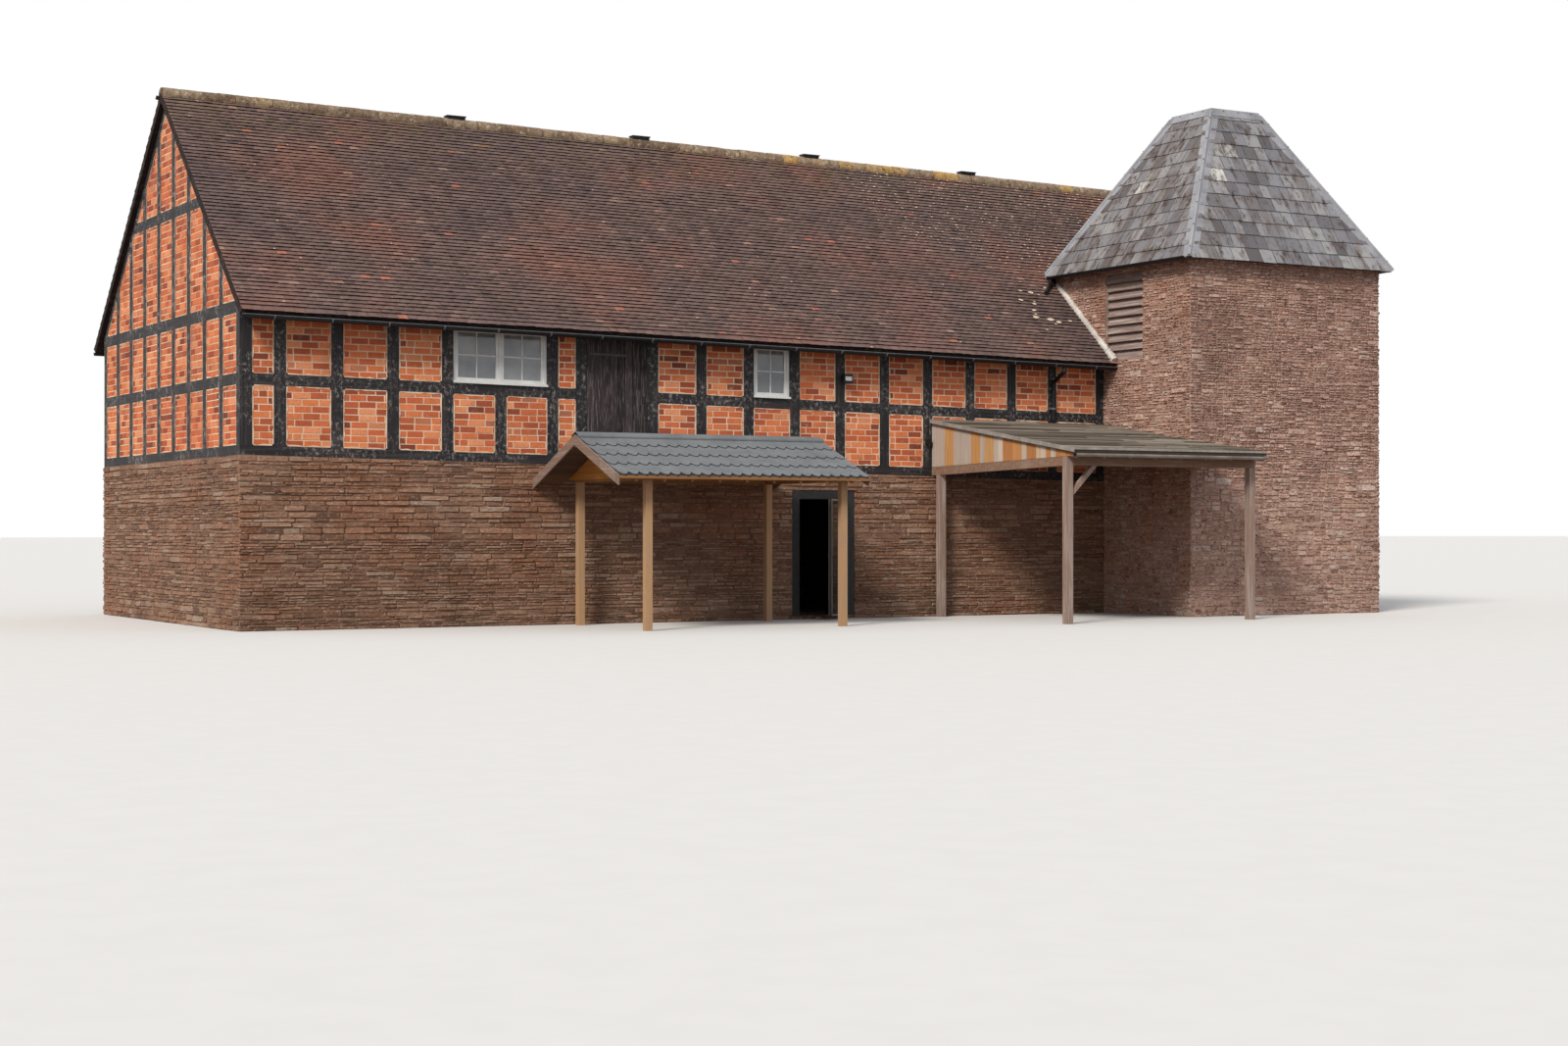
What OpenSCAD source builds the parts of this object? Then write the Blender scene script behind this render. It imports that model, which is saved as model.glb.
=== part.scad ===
/* [Kiln tower] */
// Length of the kiln tower along the range
kiln_x = 4490; // [3800:10:5200]
// Depth of the kiln tower
kiln_y = 3970; // [3600:10:4400]
// Height of the kiln walls to the eaves
kiln_eaves_z = 6370; // [6350:10:6600]
// Thickness of the kiln's rubble walls
kiln_wall_t = 450; // [350:10:550]
// Height of the kiln roof's flat top
kiln_top_z = 9390; // [8600:10:10200]
// Side of the kiln roof's flat top
kiln_top_side = 1084; // [800:2:1500]
// Distance that the slates run past the kiln walls
kiln_overhang = 180; // [120:5:240]
// Thickness of the kiln roof, measured level
kiln_roof_t = 210; // [205:1:240]
// Height of the lead band round the flat top
cap_h = 150; // [80:5:180]
// Thickness of the lead cap and its boards
cap_t = 25; // [20:1:40]
// Width of the lead over each hip, each side
hip_lead_w = 130; // [80:5:180]
// Thickness of the lead over the hips
hip_lead_t = 18; // [10:1:30]

/* [Kiln louvre] */
// Distance of the louvre from the kiln's front face
louvre_y = 1340; // [900:10:1360]
// Width of the louvre opening
louvre_w = 1110; // [800:10:1130]
// Height of the louvre's foot
louvre_z = 4680; // [4500:10:4700]
// Height of the louvre opening
louvre_h = 1620; // [1100:10:1640]
// Number of slats in the louvre
louvre_slats = 10; // [6:1:12]
// Thickness of a slat
slat_t = 24; // [16:1:32]
// Tilt of a slat from level
slat_tilt = 62; // [35:1:70]

/* [Range walls] */
// Length of the range left of the kiln
range_left = 16400; // [15000:50:17500]
// Distance of the range's front wall behind the kiln's front
range_y = 2490; // [2200:10:2700]
// Depth of the range over its walls
range_depth = 8292; // [7600:4:8800]
// Thickness of the range's rubble walls
stone_t = 450; // [350:10:550]
// Fall of the old frame towards the kiln, in mm per metre
frame_fall = 15; // [0:1:20]
// Height of the sill beam's top at the kiln
sill_top = 2590; // [2560:5:2700]
// Depth of the sill beam
sill_h = 150; // [120:5:180]
// Thickness of the timber frame wall
frame_t = 180; // [140:5:220]
// Height of the middle rail's top at the kiln
rail_top = 3690; // [3560:10:3800]
// Depth of the middle rail
rail_h = 175; // [120:5:200]
// Height of the wall plate's outer edge at the kiln
plate_top = 4795; // [4750:5:4850]
// Depth of the wall plate
plate_h = 190; // [150:5:230]
// Width of a wall stud
stud_w = 195; // [150:5:230]
// Distance between the studs' centre lines
stud_pitch = 911; // [890:1:925]
// Distance that the studs' row starts before the kiln
stud_start = 284; // [240:2:320]
// Distance that the brickwork lies behind the timbers' faces
brick_set = 12; // [5:1:30]
// Thickness of the brick panels
brick_t = 110; // [100:2:140]

/* [Range roof] */
// Pitch of the range's roof
roof_pitch = 41.3; // [40:0.1:42]
// Thickness of the range's roof, square to its slope
roof_t = 120; // [90:5:140]
// Level distance that the tiles run past the front and rear walls
eaves_over = 377; // [300:1:420]
// Level distance that the tiles run past the rafters' feet
tile_over = 60; // [40:5:80]
// Thickness of the tiles and battens over the rafters
tile_t = 45; // [35:5:60]
// Distance that the tiles run past the gable ends
verge_over = 90; // [50:5:150]
// Outer radius of a ridge tile
ridge_r = 130; // [100:5:160]
// Number of ridge vents
vent_count = 4; // [1:1:4]
// Distance between the ridge vents
vent_pitch = 3660; // [3200:20:3700]
// Distance of the last ridge vent from the kiln's left face
vent_first = 270; // [100:10:600]
// Length of a ridge vent
vent_len = 340; // [300:10:600]

/* [Windows and loading door] */
// Stud to the right of the wide window, counted from the kiln
wide_window_stud = 12; // [12:1:14]
// Stud to the right of the narrow window, counted from the kiln
narrow_window_stud = 7; // [3:1:8]
// Stud to the right of the loading door, counted from the kiln
loading_stud = 10; // [10:1:10]
// Width of the loading door's boards
loading_w = 1120; // [1000:10:1200]
// Thickness of the window frames
window_t = 70; // [50:5:90]
// Width of the window frames' bars
window_bar = 50; // [40:5:70]
// Width of the casements' bars inside the frames
sash_bar = 45; // [30:5:60]
// Distance that the window sills stand out of the wall
sill_out = 35; // [10:5:60]

/* [Doorway] */
// Distance of the doorway's right side from the kiln's left face
door_x = 5460; // [5300:10:5600]
// Width of the doorway in the stone wall
door_w = 1260; // [1160:10:1300]
// Height of the doorway
door_h = 2230; // [2150:5:2300]
// Width of the door frame's posts
door_post = 150; // [110:5:180]
// Depth of the door frame
door_frame_t = 120; // [90:5:160]
// Thickness of the door leaf
leaf_t = 45; // [38:1:55]
// Width of the door leaf's edge members
leaf_bar = 75; // [60:5:110]
// Clearance round the door leaf
door_gap = 8; // [6:1:12]
// Angle at which the door leaf stands open
door_open = 43; // [0:1:60]

/* [Floors] */
// Thickness of the ground floor
floor_t = 60; // [40:5:90]
// Side of the beams below the upper floor
floor_beam = 250; // [200:10:300]

/* [Gutters] */
// Outer radius of the half-round gutters
gutter_r = 60; // [50:1:70]
// Thickness of the gutters
gutter_t = 6; // [4:1:8]
// Outer diameter of the downpipe
pipe_d = 76; // [60:2:90]

/* [Lean-to] */
// Distance of the lean-to's left side from the kiln's left face
lean_x = 3840; // [3500:10:4200]
// Distance of the lean-to's front posts before the kiln's front face
lean_y = 1510; // [1200:10:1800]
// Side of the lean-to's posts
lean_post = 125; // [100:5:140]
// Underside of the lean-to's beams
lean_beam_z = 2600; // [2520:10:2660]
// Depth of the lean-to's beams
lean_beam_h = 145; // [130:5:170]
// How much lower the lean-to's side beam lies at the wall than at its front post
side_fall = 90; // [0:5:120]
// Underside of the lean-to's rafters at the wall
lean_high = 3340; // [3200:10:3450]
// Depth of the lean-to's rafters
lean_rafter_h = 95; // [75:5:120]
// Thickness of the lean-to's roof boards
lean_roof_t = 60; // [40:5:80]
// Level distance that the lean-to's roof runs past its front beam
lean_over = 330; // [200:10:380]
// Number of rafters in the lean-to
lean_rafters = 8; // [6:1:10]

/* [Canopy] */
// Distance of the canopy's left posts from the kiln's left face
canopy_x = 10960; // [10600:10:11200]
// Distance between the outsides of the canopy's posts
canopy_len = 3600; // [3300:10:3900]
// Distance between the outsides of the front and rear posts
canopy_depth = 2550; // [2300:10:2700]
// Side of the canopy's posts
canopy_post = 112; // [90:2:130]
// Height of the canopy's posts
canopy_post_h = 2310; // [2150:10:2400]
// Depth of the canopy's beams
canopy_beam_h = 145; // [110:5:180]
// Pitch of the canopy's roof
canopy_pitch = 22.5; // [18:0.5:26]
// Thickness of the canopy's roof
canopy_roof_t = 40; // [30:2:60]
// Distance that the canopy's roof runs past its end posts
canopy_verge = 590; // [300:10:700]
// Distance that the canopy's roof runs past its right posts
canopy_verge_right = 240; // [150:10:400]
// Level distance that the canopy's roof runs past its front posts
canopy_over = 290; // [200:10:400]

/* [Hidden] */

stone_colour = "#8f6f5e";
timber_colour = "#241f1d";
brick_colour = "#b5532f";
tile_colour = "#5b4038";
slate_colour = "#6d6f72";
lead_colour = "#8d9194";
oak_colour = "#a58a63";
big = 60000;
seat = 0.3;

fall_angle = atan(frame_fall / 1000);
pitch_tan = tan(roof_pitch);
range_rear = range_y + range_depth;
ridge_y = range_y + range_depth / 2;
roof_rise_t = roof_t / cos(roof_pitch);
ridge_under = plate_top + range_depth / 2 * pitch_tan;
ridge_top = ridge_under + roof_rise_t;
eaves_y = range_y - eaves_over;
sill_low = sill_top - sill_h;
plate_low = plate_top - plate_h;
left_face = -range_left;
left_roof = left_face - verge_over;
right_roof = kiln_x + verge_over;

// The origin lies under the middle of the whole building
low_y = -lean_y - lean_over;
high_y = range_rear + eaves_over - tile_over + 2 * gutter_r + seat;
right_side = kiln_x + kiln_overhang + hip_lead_t;
centre_x = (left_roof + right_side) / 2;
centre_y = (low_y + high_y) / 2;

// Height of a level of the frame at a place along the falling range
function at(x, z) = z / cos(fall_angle) - x * tan(fall_angle);
// Underside and top of the range's roof at a distance from the ridge
function under_roof(y) = ridge_under - abs(y - ridge_y) * pitch_tan;
function over_roof(y) = under_roof(y) + roof_rise_t;

// Puts what is drawn from the kiln's front left corner into the part's frame
module placed() {
    translate([-centre_x, -centre_y, 0]) children();
}

// A block with upright sides whose top and foot follow the frame's fall
module fall_block(x0, x1, y0, y1, z0, z1) {
    translate([0, y1, 0]) rotate([90, 0, 0]) linear_extrude(y1 - y0)
        polygon([[x0, at(x0, z0)], [x1, at(x1, z0)], [x1, at(x1, z1)], [x0, at(x0, z1)]]);
}

// A rubble wall from the ground up to the foot of the sill beam
module stone_block(x0, x1, y0, y1, z0 = 0) {
    translate([0, y1, 0]) rotate([90, 0, 0]) linear_extrude(y1 - y0)
        polygon([[x0, z0], [x1, z0], [x1, at(x1, sill_low - seat)], [x0, at(x0, sill_low - seat)]]);
}

// A profile drawn in Y and Z that runs along the falling range, cut upright at its ends
end_spare = 600;
module along_range(x0, x1) {
    intersection() {
        rotate([0, fall_angle, 0]) translate([x0 - end_spare, 0, 0]) rotate([90, 0, 90])
            linear_extrude(x1 - x0 + 2 * end_spare) children();
        translate([x0, -big / 2, -big / 2]) cube([x1 - x0, big, big]);
    }
}

// A profile drawn in Y and Z that runs level along X
module along_x(x0, x1) {
    translate([x0, 0, 0]) rotate([90, 0, 90]) linear_extrude(x1 - x0) children();
}

// A profile drawn in X and Z that runs along Y
module along_y(y0, y1) {
    translate([0, y1, 0]) rotate([90, 0, 0]) linear_extrude(y1 - y0) children();
}

module block(x0, x1, y0, y1, z0, z1) {
    translate([x0, y0, z0]) cube([x1 - x0, y1 - y0, z1 - z0]);
}

// Rubble walls of the range

door_right = -door_x;
door_left = door_right - door_w;
wall_in = range_y + stone_t;
rear_in = range_rear - stone_t;

module front_stone_wall_left() {
    color(stone_colour) placed() stone_block(left_face, door_left, range_y, wall_in);
}
module front_stone_wall_right() {
    color(stone_colour) placed() stone_block(door_right, 0, range_y, wall_in);
}
module wall_over_door() {
    color(stone_colour) placed() stone_block(door_left, door_right, range_y, wall_in, door_h);
}
module left_stone_wall() {
    color(stone_colour) placed() stone_block(left_face, left_face + stone_t, wall_in, rear_in);
}
module rear_stone_wall() {
    color(stone_colour) placed() stone_block(left_face, kiln_x, rear_in, range_rear);
}
module right_stone_wall() {
    color(stone_colour) placed() stone_block(kiln_x - stone_t, kiln_x, kiln_y, rear_in);
}

// Timber frame of the long walls

// Places of the studs' centre lines: the front counts from the kiln, the rear from the right
front_count = floor((range_left - 2 * stud_w - stud_start) / stud_pitch);
rear_count = floor((range_left + kiln_x - 2 * stud_w) / stud_pitch);
first_post = -seat - stud_w / 2;
last_post = left_face + stud_w / 2;
function stud_x(i) = i == 0 ? first_post
    : i == loading_stud + 1 ? -stud_start - loading_stud * stud_pitch - loading_w - stud_w
    : -stud_start - i * stud_pitch;
function rear_x(i) = kiln_x - stud_w / 2 - i * stud_pitch;
front_row = [for (i = [0:front_count]) stud_x(i), last_post];
rear_row = [for (i = [0:rear_count]) rear_x(i), last_post];
rear_front = range_rear - frame_t;
rail_low = rail_top - rail_h;
rear_shift = 4;

// True where the bay to the left of stud i is taken by a window above its rail
function window_bay(i) = i == narrow_window_stud || i == wide_window_stud
    || i == wide_window_stud + 1;
function cut_stud(i) = i == wide_window_stud + 1;

module sill_beams() {
    color(timber_colour) placed() {
        fall_block(left_face, -seat, range_y, range_y + frame_t, sill_low, sill_top);
        fall_block(left_face, kiln_x, rear_front, range_rear, sill_low, sill_top);
    }
}

// The plates' tops are cut to the slope of the roof that they carry
module plate_profile(y) {
    polygon([[y, plate_low], [y + frame_t, plate_low],
             [y + frame_t, under_roof(y + frame_t)], [y, under_roof(y)]]);
}
module wall_plates() {
    color(timber_colour) placed() {
        along_range(left_face, -seat) plate_profile(range_y);
        along_range(left_face, kiln_x)
            translate([2 * ridge_y, 0]) mirror([1, 0]) plate_profile(range_y);
    }
}

module stud(x, y, top) {
    fall_block(x - stud_w / 2, x + stud_w / 2, y, y + frame_t, sill_top + seat, top - seat);
}
module wall_studs() {
    color(timber_colour) placed() {
        for (i = [0:len(front_row) - 1])
            stud(front_row[i], range_y, cut_stud(i) ? rail_top : plate_low);
        for (i = [0:len(rear_row) - 1])
            stud(rear_row[i], rear_front, cut_stud(i - rear_shift) ? rail_top : plate_low);
    }
}

// What fills a bay from one stud to the next
module bay_block(row, i, y0, y1, z0, z1) {
    fall_block(row[i + 1] + stud_w / 2 + seat, row[i] - stud_w / 2 - seat, y0, y1, z0 + seat,
               z1 - seat);
}
module wall_rails() {
    color(timber_colour) placed() {
        for (i = [0:len(front_row) - 2])
            if (i != loading_stud)
                bay_block(front_row, i, range_y, range_y + frame_t, rail_low, rail_top);
        for (i = [0:len(rear_row) - 2])
            bay_block(rear_row, i, rear_front, range_rear, rail_low, rail_top);
    }
}
module brick_panels() {
    color(brick_colour) placed() {
        for (i = [0:len(front_row) - 2])
            if (i != loading_stud) {
                bay_block(front_row, i, range_y + brick_set, range_y + brick_set + brick_t,
                          sill_top, rail_low);
                if (!window_bay(i))
                    bay_block(front_row, i, range_y + brick_set, range_y + brick_set + brick_t,
                              rail_top, plate_low);
            }
        for (i = [0:len(rear_row) - 2]) {
            bay_block(rear_row, i, range_rear - brick_set - brick_t, range_rear - brick_set,
                      sill_top, rail_low);
            if (!window_bay(i - rear_shift))
                bay_block(rear_row, i, range_rear - brick_set - brick_t,
                          range_rear - brick_set, rail_top, plate_low);
        }
    }
}

// Timber frame of the gable ends, drawn in Y and Z

rafter_w = 170;
collar_rise = 0.22;
collar_top = plate_top + range_depth * collar_rise;
module gable_outline(y0, y1, inset = 0) {
    polygon([[y0, sill_low], [y1, sill_low], [y1, under_roof(y1) - inset],
             [ridge_y, ridge_under - inset], [y0, under_roof(y0) - inset]]);
}
// Openings between the timbers of a gable
module gable_bays(y0, y1, gap = 0) {
    bays = round((y1 - y0) / stud_pitch);
    pitch = (y1 - y0 + stud_w) / bays;
    intersection() {
        gable_outline(y0, y1, rafter_w + 2 * gap);
        for (i = [0:bays - 1], level = [[sill_top, rail_low], [rail_top, plate_low],
                                        [plate_top, collar_top - rail_h],
                                        [collar_top, ridge_under]])
            translate([y0 + i * pitch + gap, level[0] + gap])
                square([pitch - stud_w - 2 * gap, level[1] - level[0] - 2 * gap]);
    }
}
module gable_frame(x, y0, y1) {
    along_range(x, x + frame_t) difference() {
        gable_outline(y0, y1);
        gable_bays(y0, y1);
    }
}
left_gable_y = range_y + frame_t + seat;
right_gable_y = kiln_y + seat;
gable_end_y = rear_front - seat;
module gable_frames() {
    color(timber_colour) placed() {
        gable_frame(left_face, left_gable_y, gable_end_y);
        gable_frame(kiln_x - frame_t, right_gable_y, gable_end_y);
    }
}
module gable_panels() {
    color(brick_colour) placed() {
        along_range(left_face + brick_set, left_face + brick_set + brick_t)
            gable_bays(left_gable_y, gable_end_y, seat);
        along_range(kiln_x - brick_set - brick_t, kiln_x - brick_set)
            gable_bays(right_gable_y, gable_end_y, seat);
    }
}

// Floors

kiln_in = kiln_wall_t;
module ground_floor() {
    color("#8c857b") placed() {
        difference() {
            union() {
                block(left_face + stone_t, kiln_x - stone_t, wall_in, rear_in, 0, floor_t);
                block(door_left, door_right, range_y, wall_in, 0, floor_t);
            }
            block(0, kiln_x, 0, kiln_y, -1, floor_t + 1);
        }
        block(kiln_in, kiln_x - kiln_in, kiln_in, kiln_y - kiln_in, 0, floor_t);
    }
}
beam_count = 5;
beam_pitch = range_left / (beam_count + 1);
module upper_floor() {
    color("#7a6148") placed() difference() {
        fall_block(left_face + frame_t + seat, kiln_x - frame_t - seat, left_gable_y, gable_end_y,
                   sill_low, sill_top);
        block(-seat, kiln_x, 0, kiln_y + seat, 0, big);
    }
}
module floor_beams() {
    color("#6a5440") placed() for (i = [1:beam_count])
        fall_block(-i * beam_pitch - floor_beam / 2, -i * beam_pitch + floor_beam / 2,
                   wall_in, rear_in, sill_low - floor_beam, sill_low - seat);
}

// Windows above the rail, with a casement for each bay

function bay_left(row, i) = row[i] + stud_w / 2;
function bay_right(row, i) = row[i] - stud_w / 2;
window_back = 30;
sill_t = 35;
sash_set = 12;
// The casements lie a little behind their frame; side is -1 at the front wall and 1 at the rear
module window_frame(x0, x1, y, lights, side) {
    light_w = (x1 - x0 - (lights + 1) * window_bar) / lights;
    face_y = side < 0 ? y : y + window_t;
    difference() {
        fall_block(x0 + seat, x1 - seat, y, y + window_t, rail_top + seat, plate_low - seat);
        for (i = [0:lights - 1]) {
            window_hole(x0 + window_bar + i * (light_w + window_bar), light_w,
                        face_y - sash_set, 2 * sash_set, 0);
            window_hole(x0 + window_bar + i * (light_w + window_bar), light_w, y - 1,
                        window_t + 2, sash_bar);
        }
    }
    sill_edge = face_y + side * (window_back + sill_out);
    fall_block(x0 + seat, x1 - seat, min(sill_edge, face_y - 1), max(sill_edge, face_y + 1),
               rail_top + seat, rail_top + sill_t);
}
module window_hole(x, w, y, depth, gap) {
    fall_block(x + gap, x + w - gap, y, y + depth, rail_top + window_bar + gap,
               plate_low - window_bar - gap);
}
glass_t = 6;
module window_sheet(x0, x1, y, lights) {
    light_w = (x1 - x0 - (lights + 1) * window_bar) / lights;
    for (i = [0:lights - 1])
        window_hole(x0 + window_bar + i * (light_w + window_bar), light_w,
                    y + (window_t - glass_t) / 2, glass_t, sash_bar + seat);
}
front_window_y = range_y + window_back;
rear_window_y = range_rear - window_back - window_t;
module each_window(sheet) {
    for (w = [[front_row, wide_window_stud + 2, wide_window_stud, front_window_y, 2],
              [front_row, narrow_window_stud + 1, narrow_window_stud, front_window_y, 1],
              [rear_row, wide_window_stud + rear_shift + 2, wide_window_stud + rear_shift,
               rear_window_y, 2],
              [rear_row, narrow_window_stud + rear_shift + 1, narrow_window_stud + rear_shift,
               rear_window_y, 1]])
        if (sheet)
            window_sheet(bay_left(w[0], w[1]), bay_right(w[0], w[2]), w[3], w[4]);
        else
            window_frame(bay_left(w[0], w[1]), bay_right(w[0], w[2]), w[3], w[4],
                         w[0] == front_row ? -1 : 1);
}
module window_frames() {
    color("#c9ccc8") placed() each_window(false);
}
module window_glass() {
    color("#9fb3bd", 0.5) placed() each_window(true);
}
board_t = 50;
module loading_door() {
    color("#1d1a19") placed()
        bay_block(front_row, loading_stud, range_y + brick_set, range_y + brick_set + board_t,
                  sill_top, plate_low);
}

// Ground-floor doorway: the axis of the hinges is upright at the outer face of the frame

frame_y = range_y;
hinge_out = 14;
hinge_inset = 250;
leaf_right = door_right - door_post - door_gap;
leaf_left = door_left + door_post + door_gap;
hinge_x = leaf_right + door_gap / 2;
hinge_y = frame_y - hinge_out;
leaf_y = frame_y;
leaf_low = floor_t + door_gap;
leaf_high = door_h - door_post - door_gap;
knuckle_r = 10;
knuckle_h = 60;
hinge_plate = 32;
stop_t = 14;
pane_t = 8;
hinge_levels = [leaf_low + hinge_inset, (leaf_low + leaf_high) / 2, leaf_high - hinge_inset];
module hinge_knuckle(z, side) {
    translate([hinge_x, hinge_y, z]) cylinder(h = knuckle_h, r = knuckle_r, $fn = 32);
    block(min(hinge_x, hinge_x + side * hinge_plate), max(hinge_x, hinge_x + side * hinge_plate),
          hinge_y, frame_y, z, z + knuckle_h);
}
module door_frame() {
    color(timber_colour) placed() {
        difference() {
            block(door_left, door_right, frame_y, frame_y + door_frame_t, floor_t, door_h);
            block(door_left + door_post, door_right - door_post, frame_y - 1,
                  leaf_y + leaf_t + seat, floor_t - 1, door_h - door_post);
            block(door_left + door_post + stop_t, door_right - door_post - stop_t, frame_y,
                  frame_y + door_frame_t + 1, floor_t - 1, door_h - door_post - stop_t);
        }
        for (z = hinge_levels) hinge_knuckle(z - knuckle_h - seat / 2, 1);
    }
}
// Draws what moves with the leaf, from its closed place to where it stands open
module leaf_placed() {
    placed() translate([hinge_x, hinge_y, 0]) rotate([0, 0, door_open])
        translate([-hinge_x, -hinge_y, 0]) children();
}
module leaf_hole(y0, y1, gap) {
    block(leaf_left + leaf_bar + gap, leaf_right - leaf_bar - gap, y0, y1,
          leaf_low + leaf_bar + gap, leaf_high - leaf_bar - gap);
}
module door_leaf() {
    color("#6f6a64") leaf_placed() {
        difference() {
            block(leaf_left, leaf_right, leaf_y, leaf_y + leaf_t, leaf_low, leaf_high);
            leaf_hole(leaf_y - 1, leaf_y + leaf_t + 1, 0);
        }
        for (z = hinge_levels) hinge_knuckle(z + seat / 2, -1);
    }
}
module door_glass() {
    color("#6b7d80", 0.5) leaf_placed()
        leaf_hole(leaf_y + leaf_t / 2 - pane_t / 2, leaf_y + leaf_t / 2 + pane_t / 2, seat);
}

// Roof of the range

feet_y = eaves_y + tile_over;
tile_rise = tile_t / cos(roof_pitch);
// The front slope in section: the tiles run on past the feet of the rafters
module slope_profile() {
    polygon([[feet_y, under_roof(feet_y) + seat], [ridge_y, ridge_under + seat],
             [ridge_y, ridge_top], [eaves_y, over_roof(eaves_y)],
             [eaves_y, over_roof(eaves_y) - tile_rise], [feet_y, over_roof(feet_y) - tile_rise]]);
}
module roof_front() {
    color(tile_colour) placed() difference() {
        along_range(left_roof, right_roof) slope_profile();
        block(0, big, -big, kiln_y, 0, big);
    }
}
module roof_rear() {
    color(tile_colour) placed() along_range(left_roof, right_roof)
        translate([2 * ridge_y, 0]) mirror([1, 0]) slope_profile();
}
ridge_bed = 0.45;
ridge_z = ridge_top - ridge_r * ridge_bed;
module ridge_tiles() {
    color("#6d6452") placed() difference() {
        along_range(left_roof, right_roof)
            translate([ridge_y, ridge_z]) circle(r = ridge_r, $fn = 40);
        along_range(left_roof - 1, right_roof + 1) roof_solid();
    }
}
// All that lies below the top of the range's roof and a seat over it
module roof_solid() {
    low_z = ridge_top + seat - (ridge_y - eaves_y + big) * pitch_tan;
    polygon([[eaves_y - big, low_z], [ridge_y, ridge_top + seat],
             [2 * ridge_y - eaves_y + big, low_z]]);
}
vent_w = 150;
vent_h = 55;
module ridge_vents() {
    color("#2b2a29") placed() for (i = [0:vent_count - 1])
        translate([-vent_first - i * vent_pitch, ridge_y,
                   at(-vent_first - i * vent_pitch, ridge_z + ridge_r)])
            rotate([0, fall_angle, 0])
                translate([-vent_len / 2, -vent_w / 2, 0]) cube([vent_len, vent_w, vent_h]);
}

// Gutters and downpipe

gutter_drop = 20;
gutter_z = over_roof(eaves_y) - tile_rise - gutter_drop;
gutter_y = feet_y - gutter_r - seat;
module gutter_profile(r) {
    difference() {
        circle(r = r, $fn = 40);
        circle(r = r - gutter_t, $fn = 40);
        translate([-r - 1, 0]) square([2 * r + 2, r + 1]);
    }
}
kiln_gutter_x = -kiln_overhang - gutter_r - seat;
lean_gutter_r = 50;
// Short pipe at the rear end of the kiln's gutter, which runs out over the range's roof
stub_y = kiln_y - 130;
stub_clear = 15;
stub_foot = at(kiln_gutter_x, over_roof(stub_y + pipe_d / 2)) + stub_clear;
kiln_gutter_end = 80;
module gutters() {
    color("#1c1c1d") placed() {
        along_range(left_roof, -seat) translate([gutter_y, gutter_z]) gutter_profile(gutter_r);
        along_range(left_roof, right_roof)
            translate([2 * ridge_y - gutter_y, gutter_z]) gutter_profile(gutter_r);
        along_y(-kiln_overhang, kiln_y - kiln_gutter_end)
            translate([kiln_gutter_x, kiln_eaves_z]) gutter_profile(gutter_r);
        translate([kiln_gutter_x, stub_y, stub_foot])
            cylinder(h = kiln_eaves_z - gutter_r + gutter_t / 2 - stub_foot,
                     d = pipe_d, $fn = 32);
        along_x(lean_left - lean_verge, lean_right + lean_verge_right)
            translate([lean_feet - lean_gutter_r - seat, lean_rafter_top(lean_feet) - gutter_drop])
                gutter_profile(lean_gutter_r);
    }
}
pipe_x = -stud_start - stud_pitch;
socket_d = pipe_d * 1.2;
pipe_wall_y = range_y - socket_d / 2 - seat;
pipe_top = at(pipe_x + pipe_d / 2, gutter_z) - gutter_r - seat;
neck_y = gutter_y;
neck_angle = 60;
neck_straight = (pipe_wall_y - neck_y) / sin(neck_angle);
outlet_h = 70;
neck_drop = neck_straight * cos(neck_angle);
module downpipe() {
    neck_top = pipe_top - outlet_h;
    neck_foot = neck_top - neck_drop;
    color("#1c1c1d") placed() translate([pipe_x, 0, 0]) {
        translate([0, neck_y, neck_top]) {
            cylinder(h = outlet_h, d = pipe_d, $fn = 32);
            sphere(d = socket_d, $fn = 32);
            rotate([180 + neck_angle, 0, 0]) cylinder(h = neck_straight, d = pipe_d, $fn = 32);
        }
        translate([0, pipe_wall_y, neck_foot]) sphere(d = socket_d, $fn = 32);
        translate([0, pipe_wall_y, pipe_foot])
            cylinder(h = neck_foot - pipe_foot, d = pipe_d, $fn = 32);
    }
}

// Kiln tower: its louvre opening is cut through the left wall

module kiln_front_wall() {
    color(stone_colour) placed() block(0, kiln_x, 0, kiln_wall_t, 0, kiln_eaves_z);
}
module kiln_rear_wall() {
    color(stone_colour) placed()
        block(0, kiln_x, kiln_y - kiln_wall_t, kiln_y, 0, kiln_eaves_z);
}
module kiln_side(x) {
    block(x, x + kiln_wall_t, kiln_wall_t, kiln_y - kiln_wall_t, 0, kiln_eaves_z);
}
module louvre_hole(x0, x1) {
    block(x0, x1, louvre_y, louvre_y + louvre_w, louvre_z, louvre_z + louvre_h);
}
module kiln_left_wall() {
    color(stone_colour) placed() difference() {
        kiln_side(0);
        louvre_hole(-1, kiln_wall_t + 1);
    }
}
module kiln_right_wall() {
    color(stone_colour) placed() kiln_side(kiln_x - kiln_wall_t);
}
louvre_bar = 25;
louvre_depth = 110;
louvre_back = 20;
slat_tenon = 5;
slat_lap = 1.15;
slat_pitch = (louvre_h - 2 * louvre_bar) / louvre_slats;
slat_w = slat_pitch * slat_lap;
module kiln_louvre() {
    color("#8a8780") placed() {
        difference() {
            louvre_hole(louvre_back, louvre_back + louvre_depth);
            block(louvre_back - 1, louvre_back + louvre_depth + 1, louvre_y + louvre_bar,
                  louvre_y + louvre_w - louvre_bar, louvre_z + louvre_bar,
                  louvre_z + louvre_h - louvre_bar);
        }
        for (i = [0:louvre_slats - 1])
            translate([louvre_back + louvre_depth / 2, louvre_y + louvre_bar - slat_tenon,
                       louvre_z + louvre_bar + (i + 0.5) * slat_pitch])
                rotate([0, -slat_tilt, 0]) translate([-slat_w / 2, 0, -slat_t / 2])
                    cube([slat_w, louvre_w - 2 * louvre_bar + 2 * slat_tenon, slat_t]);
    }
}

// Kiln roof: a hollow pyramid with a flat top, made where two level-sided prisms meet

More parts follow.
